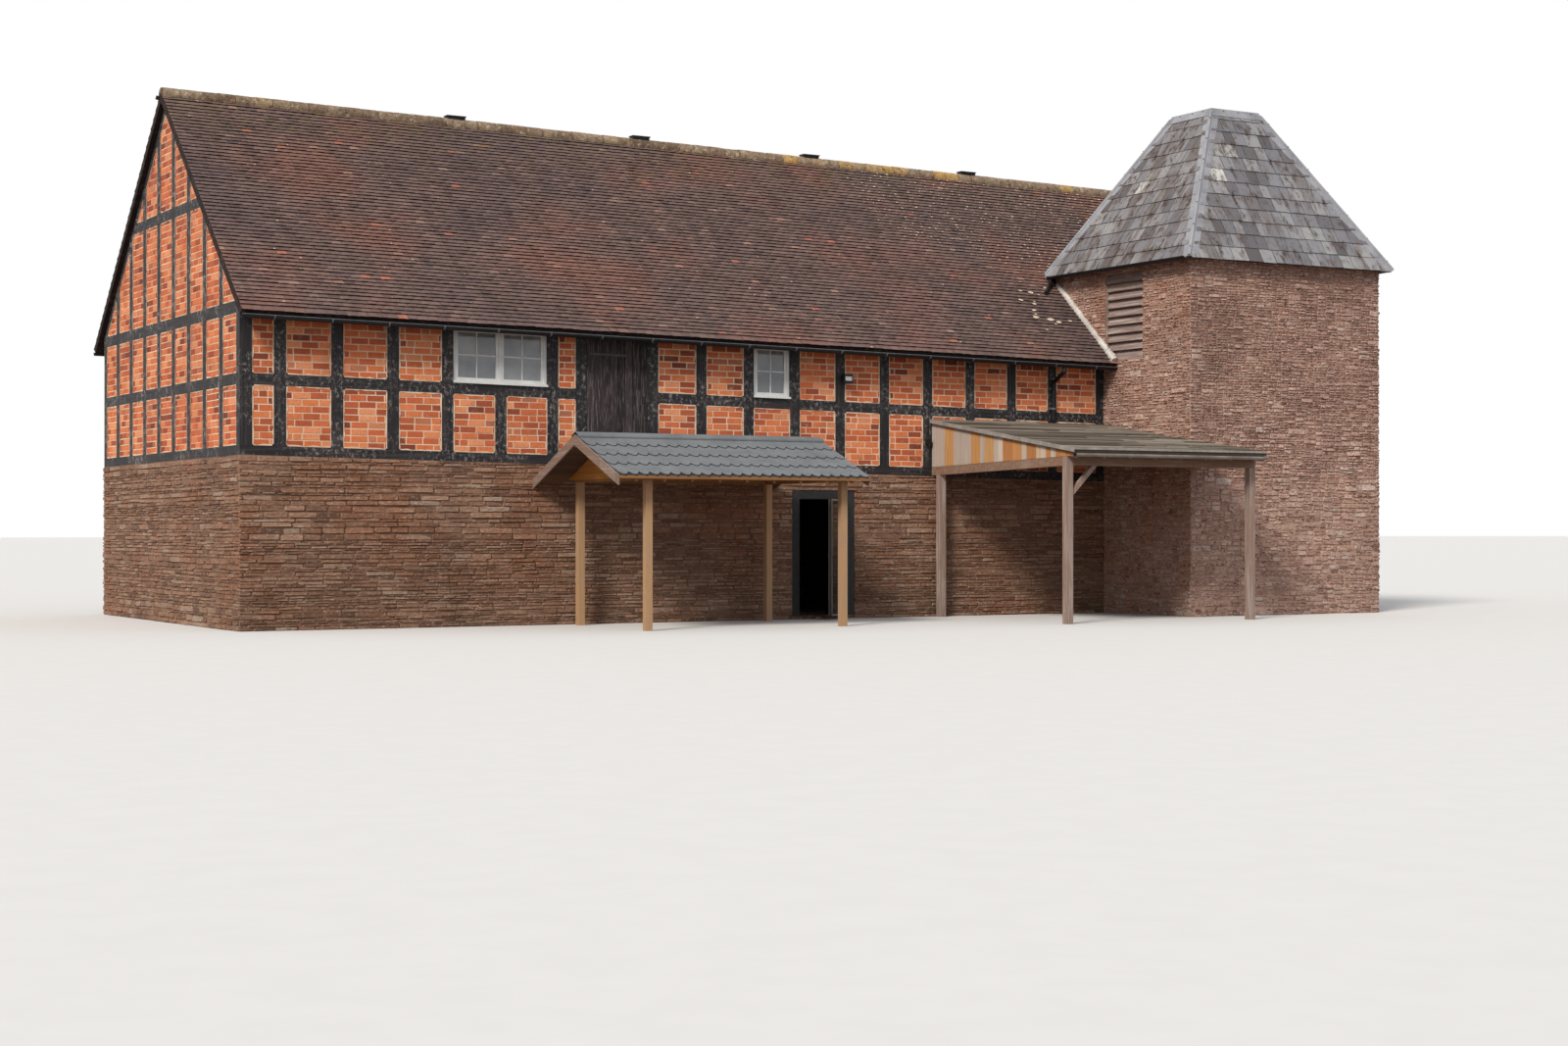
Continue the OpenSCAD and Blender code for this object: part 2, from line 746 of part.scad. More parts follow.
kiln_mid_x = kiln_x / 2;
kiln_mid_y = kiln_y / 2;
slates_top = kiln_top_z - cap_t;
module frustum_side(half_low, half_high, z0, z1) {
    polygon([[-half_low, z0], [half_low, z0], [half_high, z1], [-half_high, z1]]);
}
slope_x = (kiln_top_z - kiln_eaves_z) / (kiln_mid_x + kiln_overhang - kiln_top_side / 2);
slope_y = (kiln_top_z - kiln_eaves_z) / (kiln_mid_y + kiln_overhang - kiln_top_side / 2);
// The roof's outer shape, grown by a level distance on every side
module kiln_frustum(grow, z0, z1) {
    translate([kiln_mid_x, kiln_mid_y, 0]) intersection() {
        along_y(-big / 2, big / 2)
            frustum_side(kiln_mid_x + kiln_overhang + grow - (z0 - kiln_eaves_z) / slope_x,
                         kiln_mid_x + kiln_overhang + grow - (z1 - kiln_eaves_z) / slope_x, z0, z1);
        along_x(-big / 2, big / 2)
            frustum_side(kiln_mid_y + kiln_overhang + grow - (z0 - kiln_eaves_z) / slope_y,
                         kiln_mid_y + kiln_overhang + grow - (z1 - kiln_eaves_z) / slope_y, z0, z1);
    }
}
// What the range's roof takes out of the kiln roof behind the tower
rear_zone = 400;
module under_range_roof() {
    along_range(-kiln_overhang - end_spare, right_side + end_spare) difference() {
        roof_solid();
        translate([-big, -big]) square([big + kiln_y - rear_zone, 3 * big]);
    }
}
module kiln_roof() {
    color(slate_colour) placed() difference() {
        kiln_frustum(0, kiln_eaves_z, slates_top);
        kiln_frustum(-kiln_roof_t, kiln_eaves_z - 1, slates_top - kiln_roof_t);
        under_range_roof();
    }
}
hip_turn = atan((kiln_mid_y + kiln_overhang - kiln_top_side / 2)
    / (kiln_mid_x + kiln_overhang - kiln_top_side / 2));
module hip_zone() {
    for (sx = [-1, 1], sy = [-1, 1])
        translate([kiln_mid_x + sx * kiln_top_side / 2, kiln_mid_y + sy * kiln_top_side / 2, 0])
            rotate([0, 0, sx * sy * hip_turn + (sx < 0 ? 180 : 0)])
                translate([-400, -hip_lead_w, 0])
                    cube([kiln_x + kiln_y, 2 * hip_lead_w, kiln_top_z + 1]);
}
// Lead over the hips, and the lead cap over the flat top
cap_lip = 26;
module kiln_leadwork() {
    color(lead_colour) placed() difference() {
        union() {
            intersection() {
                kiln_frustum(hip_lead_t, kiln_eaves_z, slates_top);
                hip_zone();
            }
            kiln_frustum(cap_lip, kiln_top_z - cap_h, kiln_top_z);
        }
        kiln_frustum(seat, kiln_eaves_z - 1, slates_top + seat);
        under_range_roof();
    }
}
fillet_w = 90;
fillet_h = 95;
fillet_low = eaves_y + 20;
fillet_high = kiln_y - 120;
module mortar_fillet() {
    color("#c4b9a8") placed() along_range(-fillet_w, -seat)
        polygon([[fillet_low, over_roof(fillet_low) + seat],
                 [fillet_high, over_roof(fillet_high) + seat],
                 [fillet_high, over_roof(fillet_high) + fillet_h],
                 [fillet_low, over_roof(fillet_low) + fillet_h]]);
}

// Lean-to in the corner between the kiln and the range

lean_left = -lean_x;
lean_front = -lean_y;
lean_beam_top = lean_beam_z + lean_beam_h;
lean_rise = (lean_high - lean_beam_top) / (range_y - lean_front);
lean_angle = atan(lean_rise);
lean_corner = 45;
lean_right = lean_post + lean_corner;
lean_eave = lean_front - lean_over;
lean_feet = lean_eave + 2 * lean_gutter_r + seat;
lean_drip = 40;
lean_edge = lean_feet - lean_drip;
lean_verge = 50;
lean_verge_right = 20;
rear_post_gap = 140;
function lean_under(y) = lean_beam_top + (y - lean_front) * lean_rise;
function lean_rafter_top(y) = lean_under(y) + lean_rafter_h / cos(lean_angle);
function lean_top(y) = lean_rafter_top(y) + lean_roof_t / cos(lean_angle);
// The side beam falls towards the wall
function side_low(y) = lean_beam_z - side_fall * (y - lean_front) / (range_y - lean_front);
function side_top(y) = side_low(y) + lean_beam_h;
module side_profile(y0, y1) {
    polygon([[y0, side_low(y0)], [y1, side_low(y1)], [y1, side_top(y1)], [y0, side_top(y0)]]);
}
rear_post_y = range_y - rear_post_gap;
pipe_clear = 40;
pipe_foot = lean_top(range_y) + pipe_clear;
module lean_to_posts() {
    color(oak_colour) placed() {
        along_x(lean_left, lean_left + lean_post)
            polygon([[rear_post_y - lean_post, 0], [rear_post_y, 0],
                     [rear_post_y, side_low(rear_post_y) - seat],
                     [rear_post_y - lean_post, side_low(rear_post_y - lean_post) - seat]]);
        // The left front post stands up between the beams
        block(lean_left, lean_left + lean_post, lean_front, lean_front + lean_post, 0,
              lean_beam_top);
        block(lean_right - lean_post, lean_right, lean_front, lean_front + lean_post, 0,
              lean_beam_z);
        lean_brace();
    }
}
brace_reach = 460;
brace_w = 75;
module lean_brace() {
    translate([lean_left + lean_post, lean_front + lean_post / 2 - brace_w / 2, 0])
        intersection() {
            translate([0, 0, lean_beam_z - brace_reach]) rotate([0, -45, 0])
                translate([-brace_reach / 2, 0, -brace_w / 2])
                    cube([brace_reach * 2.4, brace_w, brace_w]);
            translate([-10, 0, 0]) cube([brace_reach * 2, brace_w, lean_beam_z]);
        }
}
module lean_to_beams() {
    color(oak_colour) placed() {
        block(lean_left + lean_post, lean_right, lean_front, lean_front + lean_post, lean_beam_z,
              lean_beam_top);
        along_x(lean_left, lean_left + lean_post)
            side_profile(lean_front + lean_post, range_y - seat);
        // Wall beam below the rafters' heads
        along_x(lean_left + lean_post + 1, -seat)
            polygon([[range_y - lean_wall_beam, lean_under(range_y) - lean_beam_h],
                     [range_y - seat, lean_under(range_y) - lean_beam_h],
                     [range_y - seat, lean_under(range_y - seat)],
                     [range_y - lean_wall_beam, lean_under(range_y - lean_wall_beam)]]);
    }
}
lean_wall_beam = 70;
rafter_t = 50;
module lean_rafter(x, y0, y1) {
    along_x(x, x + rafter_t)
        polygon([[y0, lean_under(y0) + seat], [y1, lean_under(y1) + seat],
                 [y1, lean_rafter_top(y1)], [y0, lean_rafter_top(y0)]]);
}
// The side boards stand on the side beam, a little behind its outer face
side_board_t = 22;
side_set = 6;
lean_first = side_board_t + side_set + seat;
lean_last_gap = 20;
lean_rafter_pitch = (lean_x - rafter_t - lean_first - lean_last_gap) / (lean_rafters - 1);
module lean_to_rafters() {
    color("#7d6a50") placed() {
        for (i = [0:lean_rafters - 1])
            lean_rafter(lean_left + lean_first + i * lean_rafter_pitch, lean_feet, range_y - seat);
        lean_rafter(lean_right - rafter_t, lean_feet, -seat);
    }
}
module lean_roof_profile(y0, y1) {
    polygon([[y0, lean_rafter_top(y0) + seat], [y1, lean_rafter_top(y1) + seat],
             [y1, lean_top(y1)], [y0, lean_top(y0)]]);
}
module lean_to_roof() {
    color("#6f6c68") placed() {
        along_x(lean_left - lean_verge, -seat) lean_roof_profile(lean_edge, range_y - seat);
        along_x(-1, lean_right + lean_verge_right) lean_roof_profile(lean_edge, -seat);
    }
}
module lean_to_side_boards() {
    color("#a8894f") placed() along_x(lean_left + side_set, lean_left + side_set + side_board_t)
        polygon([[lean_feet, lean_beam_top + seat], [lean_front + lean_post, lean_beam_top + seat],
                 [range_y - seat, side_top(range_y - seat) + seat],
                 [range_y - seat, lean_rafter_top(range_y - seat)],
                 [lean_feet, lean_rafter_top(lean_feet)]]);
}

// Canopy with a gabled roof that stands against the front wall

canopy_left = -canopy_x;
canopy_right = canopy_left + canopy_len;
canopy_gap = 330;
canopy_rear = range_y - canopy_gap;
canopy_front = canopy_rear - canopy_depth;
canopy_mid = (canopy_front + canopy_rear) / 2;
canopy_tan = tan(canopy_pitch);
canopy_beam_top = canopy_post_h + canopy_beam_h;
canopy_rise_t = canopy_roof_t / cos(canopy_pitch);
canopy_peak = canopy_beam_top + canopy_depth / 2 * canopy_tan;
canopy_eave = canopy_front - canopy_over;
function canopy_under(y) = canopy_peak - abs(y - canopy_mid) * canopy_tan;
module canopy_posts() {
    color("#b48e5c") placed()
        for (x = [canopy_left, canopy_right - canopy_post],
             y = [canopy_front, canopy_rear - canopy_post])
            block(x, x + canopy_post, y, y + canopy_post, 0, canopy_post_h);
}
// The beams' tops are cut to the slope of the canopy's roof
module canopy_beam_profile() {
    polygon([[canopy_front, canopy_post_h], [canopy_front + canopy_post, canopy_post_h],
             [canopy_front + canopy_post, canopy_under(canopy_front + canopy_post)],
             [canopy_front, canopy_under(canopy_front)]]);
}
module canopy_beams() {
    color("#9c6f42") placed() {
        along_x(canopy_left, canopy_right) canopy_beam_profile();
        translate([0, 2 * canopy_mid, 0]) mirror([0, 1, 0])
            along_x(canopy_left, canopy_right) canopy_beam_profile();
        for (x = [canopy_left, canopy_right - canopy_post])
            block(x, x + canopy_post, canopy_front + 1, canopy_rear - 1, canopy_post_h,
                  canopy_beam_top);
        along_x(canopy_left - canopy_verge, canopy_right + canopy_verge_right)
            polygon([[canopy_mid - ridge_beam_w / 2, canopy_peak - ridge_beam_h],
                     [canopy_mid + ridge_beam_w / 2, canopy_peak - ridge_beam_h],
                     [canopy_mid + ridge_beam_w / 2, canopy_under(canopy_mid + ridge_beam_w / 2)],
                     [canopy_mid, canopy_peak],
                     [canopy_mid - ridge_beam_w / 2, canopy_under(canopy_mid - ridge_beam_w / 2)]]);
        // Short posts that carry the ridge beam on the cross beams
        for (x = [canopy_left, canopy_right - canopy_post])
            block(x, x + canopy_post, canopy_mid - ridge_beam_w / 2, canopy_mid + ridge_beam_w / 2,
                  canopy_beam_top - 1, canopy_peak - ridge_beam_h + 1);
    }
}
ridge_beam_w = 60;
ridge_beam_h = 150;
gable_board_t = 22;
barge_h = 160;
gable_foot = 35;
gable_end = 20;
// The gable boards run out to where the roof meets their foot, or to the roof's edge
module canopy_gable_profile() {
    foot = canopy_post_h + gable_foot;
    reach = min((canopy_peak - foot - gable_end) / canopy_tan, canopy_mid - canopy_eave,
                canopy_wall_edge - canopy_mid);
    polygon([[canopy_mid - reach, foot], [canopy_mid + reach, foot],
             [canopy_mid + reach, canopy_under(canopy_mid + reach)], [canopy_mid, canopy_peak],
             [canopy_mid - reach, canopy_under(canopy_mid - reach)]]);
}
module canopy_barge_profile() {
    polygon([[canopy_eave, canopy_under(canopy_eave) + canopy_rise_t],
             [canopy_mid, canopy_peak + canopy_rise_t],
             [canopy_wall_edge, canopy_under(canopy_wall_edge) + canopy_rise_t],
             [canopy_wall_edge, canopy_under(canopy_wall_edge) + canopy_rise_t - barge_h],
             [canopy_mid, canopy_peak + canopy_rise_t - barge_h],
             [canopy_eave, canopy_under(canopy_eave) + canopy_rise_t - barge_h]]);
}
canopy_wall_edge = range_y - seat;
module canopy_gables() {
    color("#b07a45") placed() {
        along_x(canopy_left - gable_board_t, canopy_left) difference() {
            canopy_gable_profile();
            translate([canopy_mid - ridge_beam_w / 2, canopy_peak - ridge_beam_h])
                square([ridge_beam_w, ridge_beam_h + 1]);
        }
        along_x(canopy_right, canopy_right + gable_board_t) difference() {
            canopy_gable_profile();
            translate([canopy_mid - ridge_beam_w / 2, canopy_peak - ridge_beam_h])
                square([ridge_beam_w, ridge_beam_h + 1]);
        }
        along_x(canopy_left - canopy_verge - gable_board_t, canopy_left - canopy_verge - seat)
            canopy_barge_profile();
        along_x(canopy_right + canopy_verge_right + seat,
                canopy_right + canopy_verge_right + gable_board_t)
            canopy_barge_profile();
    }
}
module canopy_roof() {
    color("#5f6a74") placed()
        along_x(canopy_left - canopy_verge, canopy_right + canopy_verge_right)
            polygon([[canopy_eave, canopy_under(canopy_eave) + seat],
                     [canopy_mid, canopy_peak + seat],
                     [canopy_wall_edge, canopy_under(canopy_wall_edge) + seat],
                     [canopy_wall_edge, canopy_under(canopy_wall_edge) + canopy_rise_t],
                     [canopy_mid, canopy_peak + canopy_rise_t],
                     [canopy_eave, canopy_under(canopy_eave) + canopy_rise_t]]);
}

// Floodlight and small fixture on the front studs

lamp_stud = 6;
lamp_z = 4090;
lamp_w = 170;
lamp_t = 85;
lamp_h = 160;
lamp_shift = 35;
arm_side = 60;
arm_w = 50;
arm_len = 45;
fixture_stud = 4;
fixture_z = 3060;
fixture_w = 90;
fixture_t = 70;
module wall_lights() {
    color("#151515") placed() {
        translate([stud_x(lamp_stud) + arm_side, range_y - arm_len, lamp_z]) {
            block(lamp_shift - lamp_w / 2, lamp_shift + lamp_w / 2, -lamp_t, 0, 0, lamp_h);
            block(-arm_w / 2, arm_w / 2, -1, arm_len - seat, (lamp_h - arm_w) / 2,
                  (lamp_h + arm_w) / 2);
        }
        translate([stud_x(fixture_stud), range_y, fixture_z])
            block(-fixture_w / 2, fixture_w / 2, -fixture_t, -seat, 0, fixture_w);
    }
}

front_stone_wall_left();
front_stone_wall_right();
wall_over_door();
left_stone_wall();
rear_stone_wall();
right_stone_wall();
sill_beams();
wall_plates();
wall_studs();
wall_rails();
brick_panels();
gable_frames();
gable_panels();
ground_floor();
upper_floor();
floor_beams();
window_frames();
window_glass();
loading_door();
door_frame();
door_leaf();
door_glass();
roof_front();
roof_rear();
ridge_tiles();
ridge_vents();
gutters();
downpipe();
kiln_front_wall();
kiln_left_wall();
kiln_right_wall();
kiln_rear_wall();
kiln_louvre();
kiln_roof();
kiln_leadwork();
mortar_fillet();
lean_to_posts();
lean_to_beams();
lean_to_rafters();
lean_to_roof();
lean_to_side_boards();
canopy_posts();
canopy_beams();
canopy_gables();
canopy_roof();
wall_lights();
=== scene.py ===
import random
from math import cos, dist, hypot, pi, radians, sin, tan

import bpy
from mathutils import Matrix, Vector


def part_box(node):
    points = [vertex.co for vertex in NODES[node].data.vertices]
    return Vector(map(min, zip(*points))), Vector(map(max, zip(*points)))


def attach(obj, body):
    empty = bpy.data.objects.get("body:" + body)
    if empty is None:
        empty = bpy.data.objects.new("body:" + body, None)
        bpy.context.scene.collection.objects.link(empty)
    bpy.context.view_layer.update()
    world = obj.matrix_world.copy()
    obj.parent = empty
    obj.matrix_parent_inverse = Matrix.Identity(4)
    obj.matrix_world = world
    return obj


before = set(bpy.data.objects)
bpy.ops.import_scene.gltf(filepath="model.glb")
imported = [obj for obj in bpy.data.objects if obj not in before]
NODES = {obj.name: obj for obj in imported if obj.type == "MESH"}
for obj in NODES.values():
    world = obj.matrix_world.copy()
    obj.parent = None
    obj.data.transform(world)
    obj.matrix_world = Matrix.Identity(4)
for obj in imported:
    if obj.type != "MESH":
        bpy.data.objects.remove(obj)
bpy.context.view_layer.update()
ORIGIN = (*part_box("kiln_front_wall")[0][:2], 0)
# One generator makes all random draws; each section starts it with a seed of its own
DRAWS = random.Random()
seed = DRAWS.seed
chance = DRAWS.random
uniform = DRAWS.uniform


def box(node):
    """A node's box, in metres from the kiln's front left corner at the ground."""
    return [[v - o for v, o in zip(corner, ORIGIN)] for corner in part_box(node)]


# Sizes of the range and the kiln, from that same corner
FALL = 0.015
LEFT = box("left_stone_wall")[0][0]
RIGHT = box("right_stone_wall")[1][0]
FRONT = box("front_stone_wall_left")[0][1]
REAR = box("rear_stone_wall")[1][1]
KILN_X, _, KILN_Z = box("kiln_front_wall")[1]
KILN_Y = box("kiln_rear_wall")[1][1]
PITCH = radians(41.3)
ROOF_COS = cos(PITCH)
ROOF_SIN = sin(PITCH)
ROOF_TAN = tan(PITCH)
ROOF_THICK = 0.12
EAVES_OUT = 0.377
VERGE = 0.09
RIDGE_Y = (FRONT + REAR) / 2
EAVES_Y = FRONT - EAVES_OUT
SLOPE_LEN = (RIDGE_Y - EAVES_Y) / ROOF_COS
ROOF_LEFT = LEFT - VERGE
ROOF_RIGHT = RIGHT + VERGE
PLATE_TOP = 4.795
RIDGE_TOP = PLATE_TOP + (RIDGE_Y - FRONT) * ROOF_TAN + ROOF_THICK / ROOF_COS
SILL_LOW = 2.44
SILL_TOP = 2.59
RAIL_LOW = 3.515
RAIL_TOP = 3.69
PLATE_LOW = 4.605
STUD_W = 0.195
STUD_PITCH = 0.911
STUD_START = 0.284
DOOR_LEFT = -6.72
DOOR_RIGHT = -5.46
DOOR_TOP = 2.23
X_AXIS = (1, 0, 0)
Y_AXIS = (0, 1, 0)
Z_AXIS = (0, 0, 1)
BACK_X = (-1, 0, 0)
BACK_Y = (0, -1, 0)


def fall(x, z):
    """Height of a level of the old frame at a place along the range."""
    return z - x * FALL


def limited(value, high=1):
    """The value kept between 0 and high."""
    return min(high, max(0, value))


def add(name, data):
    obj = bpy.data.objects.new(name, data)
    bpy.context.scene.collection.objects.link(obj)
    return obj


# Meshes

class Shape:
    """Gathers faces with a tone and a material index for each."""

    def __init__(self):
        self.verts = []
        self.faces = []
        self.tones = []
        self.mats = []

    def grid(self, points, faces, tone=0.5, mat=0):
        start = len(self.verts)
        self.verts.extend(points)
        for f in faces:
            self.faces.append(tuple(start + i for i in f))
            self.tones.append(tone)
            self.mats.append(mat)

    def face(self, points, tone=0.5, mat=0):
        self.grid(points, [range(len(points))], tone, mat)

    def build(self, name, slot, materials, body="building", smooth=False, edge=0):
        """Makes the piece; edge is the width of its bevel, if it has one."""
        mesh = bpy.data.meshes.new(name)
        mesh.from_pydata([tuple(v + o for v, o in zip(p, ORIGIN)) for p in self.verts], [],
                         self.faces)
        tone = mesh.attributes.new("tone", "FLOAT", "FACE")
        tone.data.foreach_set("value", self.tones)
        mesh.polygons.foreach_set("material_index", self.mats)
        mesh.polygons.foreach_set("use_smooth", [smooth] * len(self.faces))
        for material in materials.split():
            mesh.materials.append(MAT[material])
        mesh.update()
        obj = add(name, mesh)
        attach(obj, body)
        if edge:
            bevel(obj, edge)


def bevel(obj, width):
    mod = obj.modifiers.new("edge", "BEVEL")
    mod.width = width
    mod.segments = 2
    mod.limit_method = "ANGLE"
    mod.angle_limit = radians(40)
    mod.harden_normals = False


def edges(poly):
    return zip(poly, poly[1:] + poly[:1])


def area(poly):
    """Area of a flat polygon, negative where its corners are counted to the right."""
    return 0.5 * sum(p[0] * q[1] - q[0] * p[1] for p, q in edges(poly))


def turned(poly):
    """The polygon with its corners counted to the left."""
    return poly if area(poly) > 0 else poly[::-1]


def middle(poly):
    return [sum(p[i] for p in poly) / len(poly) for i in (0, 1)]


def clip(poly, inside):
    """Cuts a flat polygon by half planes (a, b, c) that keep a*u + b*v <= c."""
    for a, b, c in inside:
        out = []
        for p, q in edges(poly):
            dp = a * p[0] + b * p[1] - c
            dq = a * q[0] + b * q[1] - c
            if dp <= 0:
                out.append(p)
            if dp * dq < 0:
                t = dp / (dp - dq)
                out.append((p[0] + t * (q[0] - p[0]), p[1] + t * (q[1] - p[1])))
        poly = out
        if len(poly) < 3:
            return []
    return poly


def shrink(poly, d):
    """Moves each corner of a convex polygon towards its middle."""
    cx, cy = middle(poly)
    out = []
    for x, y in poly:
        k = max(0.0, 1 - d / max(hypot(x - cx, y - cy), 1e-6))
        out.append((cx + (x - cx) * k, cy + (y - cy) * k))
    return out


def cross(a, b):
    return (a[1] * b[2] - a[2] * b[1], a[2] * b[0] - a[0] * b[2], a[0] * b[1] - a[1] * b[0])


def lerp(a, b, t):
    return tuple(a[i] + (b[i] - a[i]) * t for i in range(3))


class Plane:
    """A flat place on the building: u runs along it, v up it and w out of it."""

    def __init__(self, origin, u, v=Z_AXIS):
        self.o = origin
        self.u = u
        self.v = v
        self.w = cross(u, v)

    def at(self, p, q, r):
        return tuple(self.o[i] + p * self.u[i] + q * self.v[i] + r * self.w[i] for i in range(3))


def across(x, out, poly, z=0):
    """An upright plane across the range at x that faces left (out -1) or right (out 1), with an
    outline in distance back and height laid on it."""
    if out < 0:
        return Plane((x, 0, z), BACK_Y), [(-p[0], p[1]) for p in reversed(poly)]
    return Plane((x, 0, z), Y_AXIS), poly


def raised(shape, plane, poly, low, high, edge, tone, tilt=(0.0, 0.0)):
    """A flat piece that stands out of a plane, with its edge worn back and its face tilted."""
    if len(poly) < 3 or abs(area(poly)) < 0.0004:
        return
    n = len(poly)
    inner = shrink(poly, edge)
    cu, cv = middle(inner)
    points = [plane.at(p[0], p[1], low) for p in poly]
    points += [plane.at(p[0], p[1], high + tilt[0] * (p[0] - cu) + tilt[1] * (p[1] - cv))
               for p in inner]
    faces = [(i, (i + 1) % n, n + (i + 1) % n, n + i) for i in range(n)]
    shape.grid(points, faces + [range(n, 2 * n)], tone)


def corners(x0, x1, y0, y1, z0, z1):
    return [(x, y, z) for z in (z0, z1) for x, y in ((x0, y0), (x1, y0), (x1, y1), (x0, y1))]


def block(shape, points, tone=0.5, mat=0, step=1):
    """A box by its corners, four below and four above; step -1 turns its faces over."""
    shape.grid(points, [f[::step] for f in (
        (3, 2, 1, 0), (4, 5, 6, 7), (0, 1, 5, 4), (1, 2, 6, 5), (2, 3, 7, 6), (3, 0, 4, 7))],
               tone, mat)


def slab(shape, x0, x1, y0, y1, z0, z1, tone=0.5, mat=0, lean=0.0):
    """A level box whose top and foot may follow the frame's fall."""
    block(shape, [(x, y, z - x * lean) for x, y, z in corners(x0, x1, y0, y1, z0, z1)], tone, mat)


def strip(shape, rows, width, tone=0.5, mat=0, step=1, columns=None):
    """Quads between rows of width points that lie one after the other."""
    faces = [(j + k, j + k + 1, j + k + 1 + width, j + k + width)[::step]
             for j in range(0, len(rows) - width, width) for k in columns or range(width - 1)]
    shape.grid(rows, faces, tone, mat)


def tube(shape, a, b, r0, r1, n=10, mat=0, lump=0.0):
    """A round bar from a to b, which may narrow and be lumpy."""
    length = dist(a, b)
    d = tuple((b[i] - a[i]) / length for i in range(3))
    p = cross(d, Z_AXIS if abs(d[2]) < 0.9 else X_AXIS)
    m = hypot(*p)
    p = tuple(c / m for c in p)
    q = cross(d, p)
    pts = []
    for centre, r in ((a, r0), (b, r1)):
        for k in range(n):
            t = 2 * pi * k / n
            j = r * (1 + (uniform(-lump, lump) if lump else 0))
            pts.append(tuple(centre[i] + j * (cos(t) * p[i] + sin(t) * q[i])
                             for i in range(3)))
    faces = [(k, (k + 1) % n, n + (k + 1) % n, n + k) for k in range(n)]
    shape.grid(pts, faces + [range(n)[::-1], range(n, 2 * n)], 0.5, mat)


# Materials

MAT = {}


def rgb(r, g, b):
    """A colour as it looks on screen, 0 to 255, for a shader."""
    out = [c / 12.92 if c <= 0.04045 else ((c + 0.055) / 1.055) ** 2.4
           for c in (r / 255, g / 255, b / 255)]
    return (*out, 1.0)


class Tree:
    """A node tree. Its colours are given as for rgb."""

    def __init__(self, owner):
        owner.use_nodes = True
        self.tree = owner.node_tree
        self.tree.nodes.clear()

    def node(self, kind, inputs=None, **props):
        n = self.tree.nodes.new(kind)
        for key, value in props.items():
            setattr(n, key, value)
        for key, value in (inputs or {}).items():
            self.put(n.inputs[key], value)
        return n

    def put(self, socket, value):
        if isinstance(value, bpy.types.NodeSocket):
            self.tree.links.new(value, socket)
        else:
            socket.default_value = rgb(*value) if socket.type == "RGBA" else value

    def calc(self, operation, a, b):
        return self.node("ShaderNodeMath", {0: a, 1: b}, operation=operation).outputs[0]


class Material(Tree):
    """A procedural material, kept in MAT under its name."""

    def __init__(self, name, rough, specular, base, metallic=0.0):
        """base is a colour, or the colours for tones from 0 to 1."""
        MAT[name] = bpy.data.materials.new(name)
        super().__init__(MAT[name])
        self.shader = self.node("ShaderNodeBsdfPrincipled", {
            "Roughness": rough, "Metallic": metallic, "Specular IOR Level": specular})
        self.node("ShaderNodeOutputMaterial", {"Surface": self.shader.outputs[0]})
        self.pos = self.node("ShaderNodeTexCoord").outputs["Object"]
        self.color = self.ramp(base) if isinstance(base, dict) else base

    def stretch(self, *scale):
        return self.node("ShaderNodeMapping", {"Vector": self.pos, "Scale": scale}).outputs[0]

    def grain(self, axis, along, beside):
        """Places drawn out along one axis."""
        return self.stretch(*(along if axis == a else beside for a in "xyz"))

    def noise(self, scale, detail, rough=0.6, vec=None, warp=0.0):
        return self.node("ShaderNodeTexNoise", {
            "Vector": vec or self.pos, "Scale": scale, "Detail": detail, "Roughness": rough,
            "Distortion": warp}).outputs[0]

    def height(self):
        return self.node("ShaderNodeSeparateXYZ", {"Vector": self.pos}).outputs["Z"]

    def ramp(self, stops):
        tone = self.node("ShaderNodeAttribute", attribute_name="tone").outputs["Fac"]
        n = self.node("ShaderNodeValToRGB", {"Fac": tone})
        elements = n.color_ramp.elements
        while len(elements) < len(stops):
            elements.new(0.5)
        for e, (place, color) in zip(elements, stops.items()):
            e.position = place
            e.color = rgb(*color)
        return n.outputs[0]

    def span(self, fac, low, high, to_low=0.0, to_high=1.0):
        return self.node("ShaderNodeMapRange", {
            "Value": fac, "From Min": low, "From Max": high, "To Min": to_low,
            "To Max": to_high}).outputs[0]

    def mix(self, a, b, fac):
        return self.node("ShaderNodeMix", {0: fac, 6: a, 7: b}, data_type="RGBA").outputs[2]

    def lay(self, paint, fac):
        self.color = self.mix(self.color, paint, fac)

    def over(self, paint, fac, low, high, amount=1.0):
        """Lays a paint over the colour as fac goes from low to high."""
        self.lay(paint, self.span(fac, low, high, 0, amount))

    def done(self, *bumps, rough=None):
        """Ends with bumps, each as its height, strength and distance."""
        self.put(self.shader.inputs["Base Color"], self.color)
        if rough:
            self.put(self.shader.inputs["Roughness"], rough)
        last = self.shader.inputs["Normal"]
        for height, strength, distance in reversed(bumps):
            n = self.node("ShaderNodeBump", {"Height": height, "Strength": strength,
                                             "Distance": distance})
            self.put(last, n.outputs[0])
            last = n.inputs["Normal"]


def mortar(name, light, dark, foot=None, smear=None, grime=(70, 58, 50), dirt=0.55):
    """Mortar; foot is its colour below 2.5 m, where the joints were filled again, and smear
    that of brick dust on some stretches."""
    m = Material(name, 0.95, 0.2, light)
    fine = m.noise(60, 6)
    m.over(dark, m.noise(1.6, 5), 0.35, 0.7)
    if foot:
        m.over(foot, m.height(), 2.6, 2.3, 0.6)
    if smear:
        m.over(smear, m.noise(0.5, 3, 0.4), 0.58, 0.66, 0.45)
    m.over(grime, fine, 0.55, 0.8, dirt)
    m.done((fine, 0.6, 0.004))


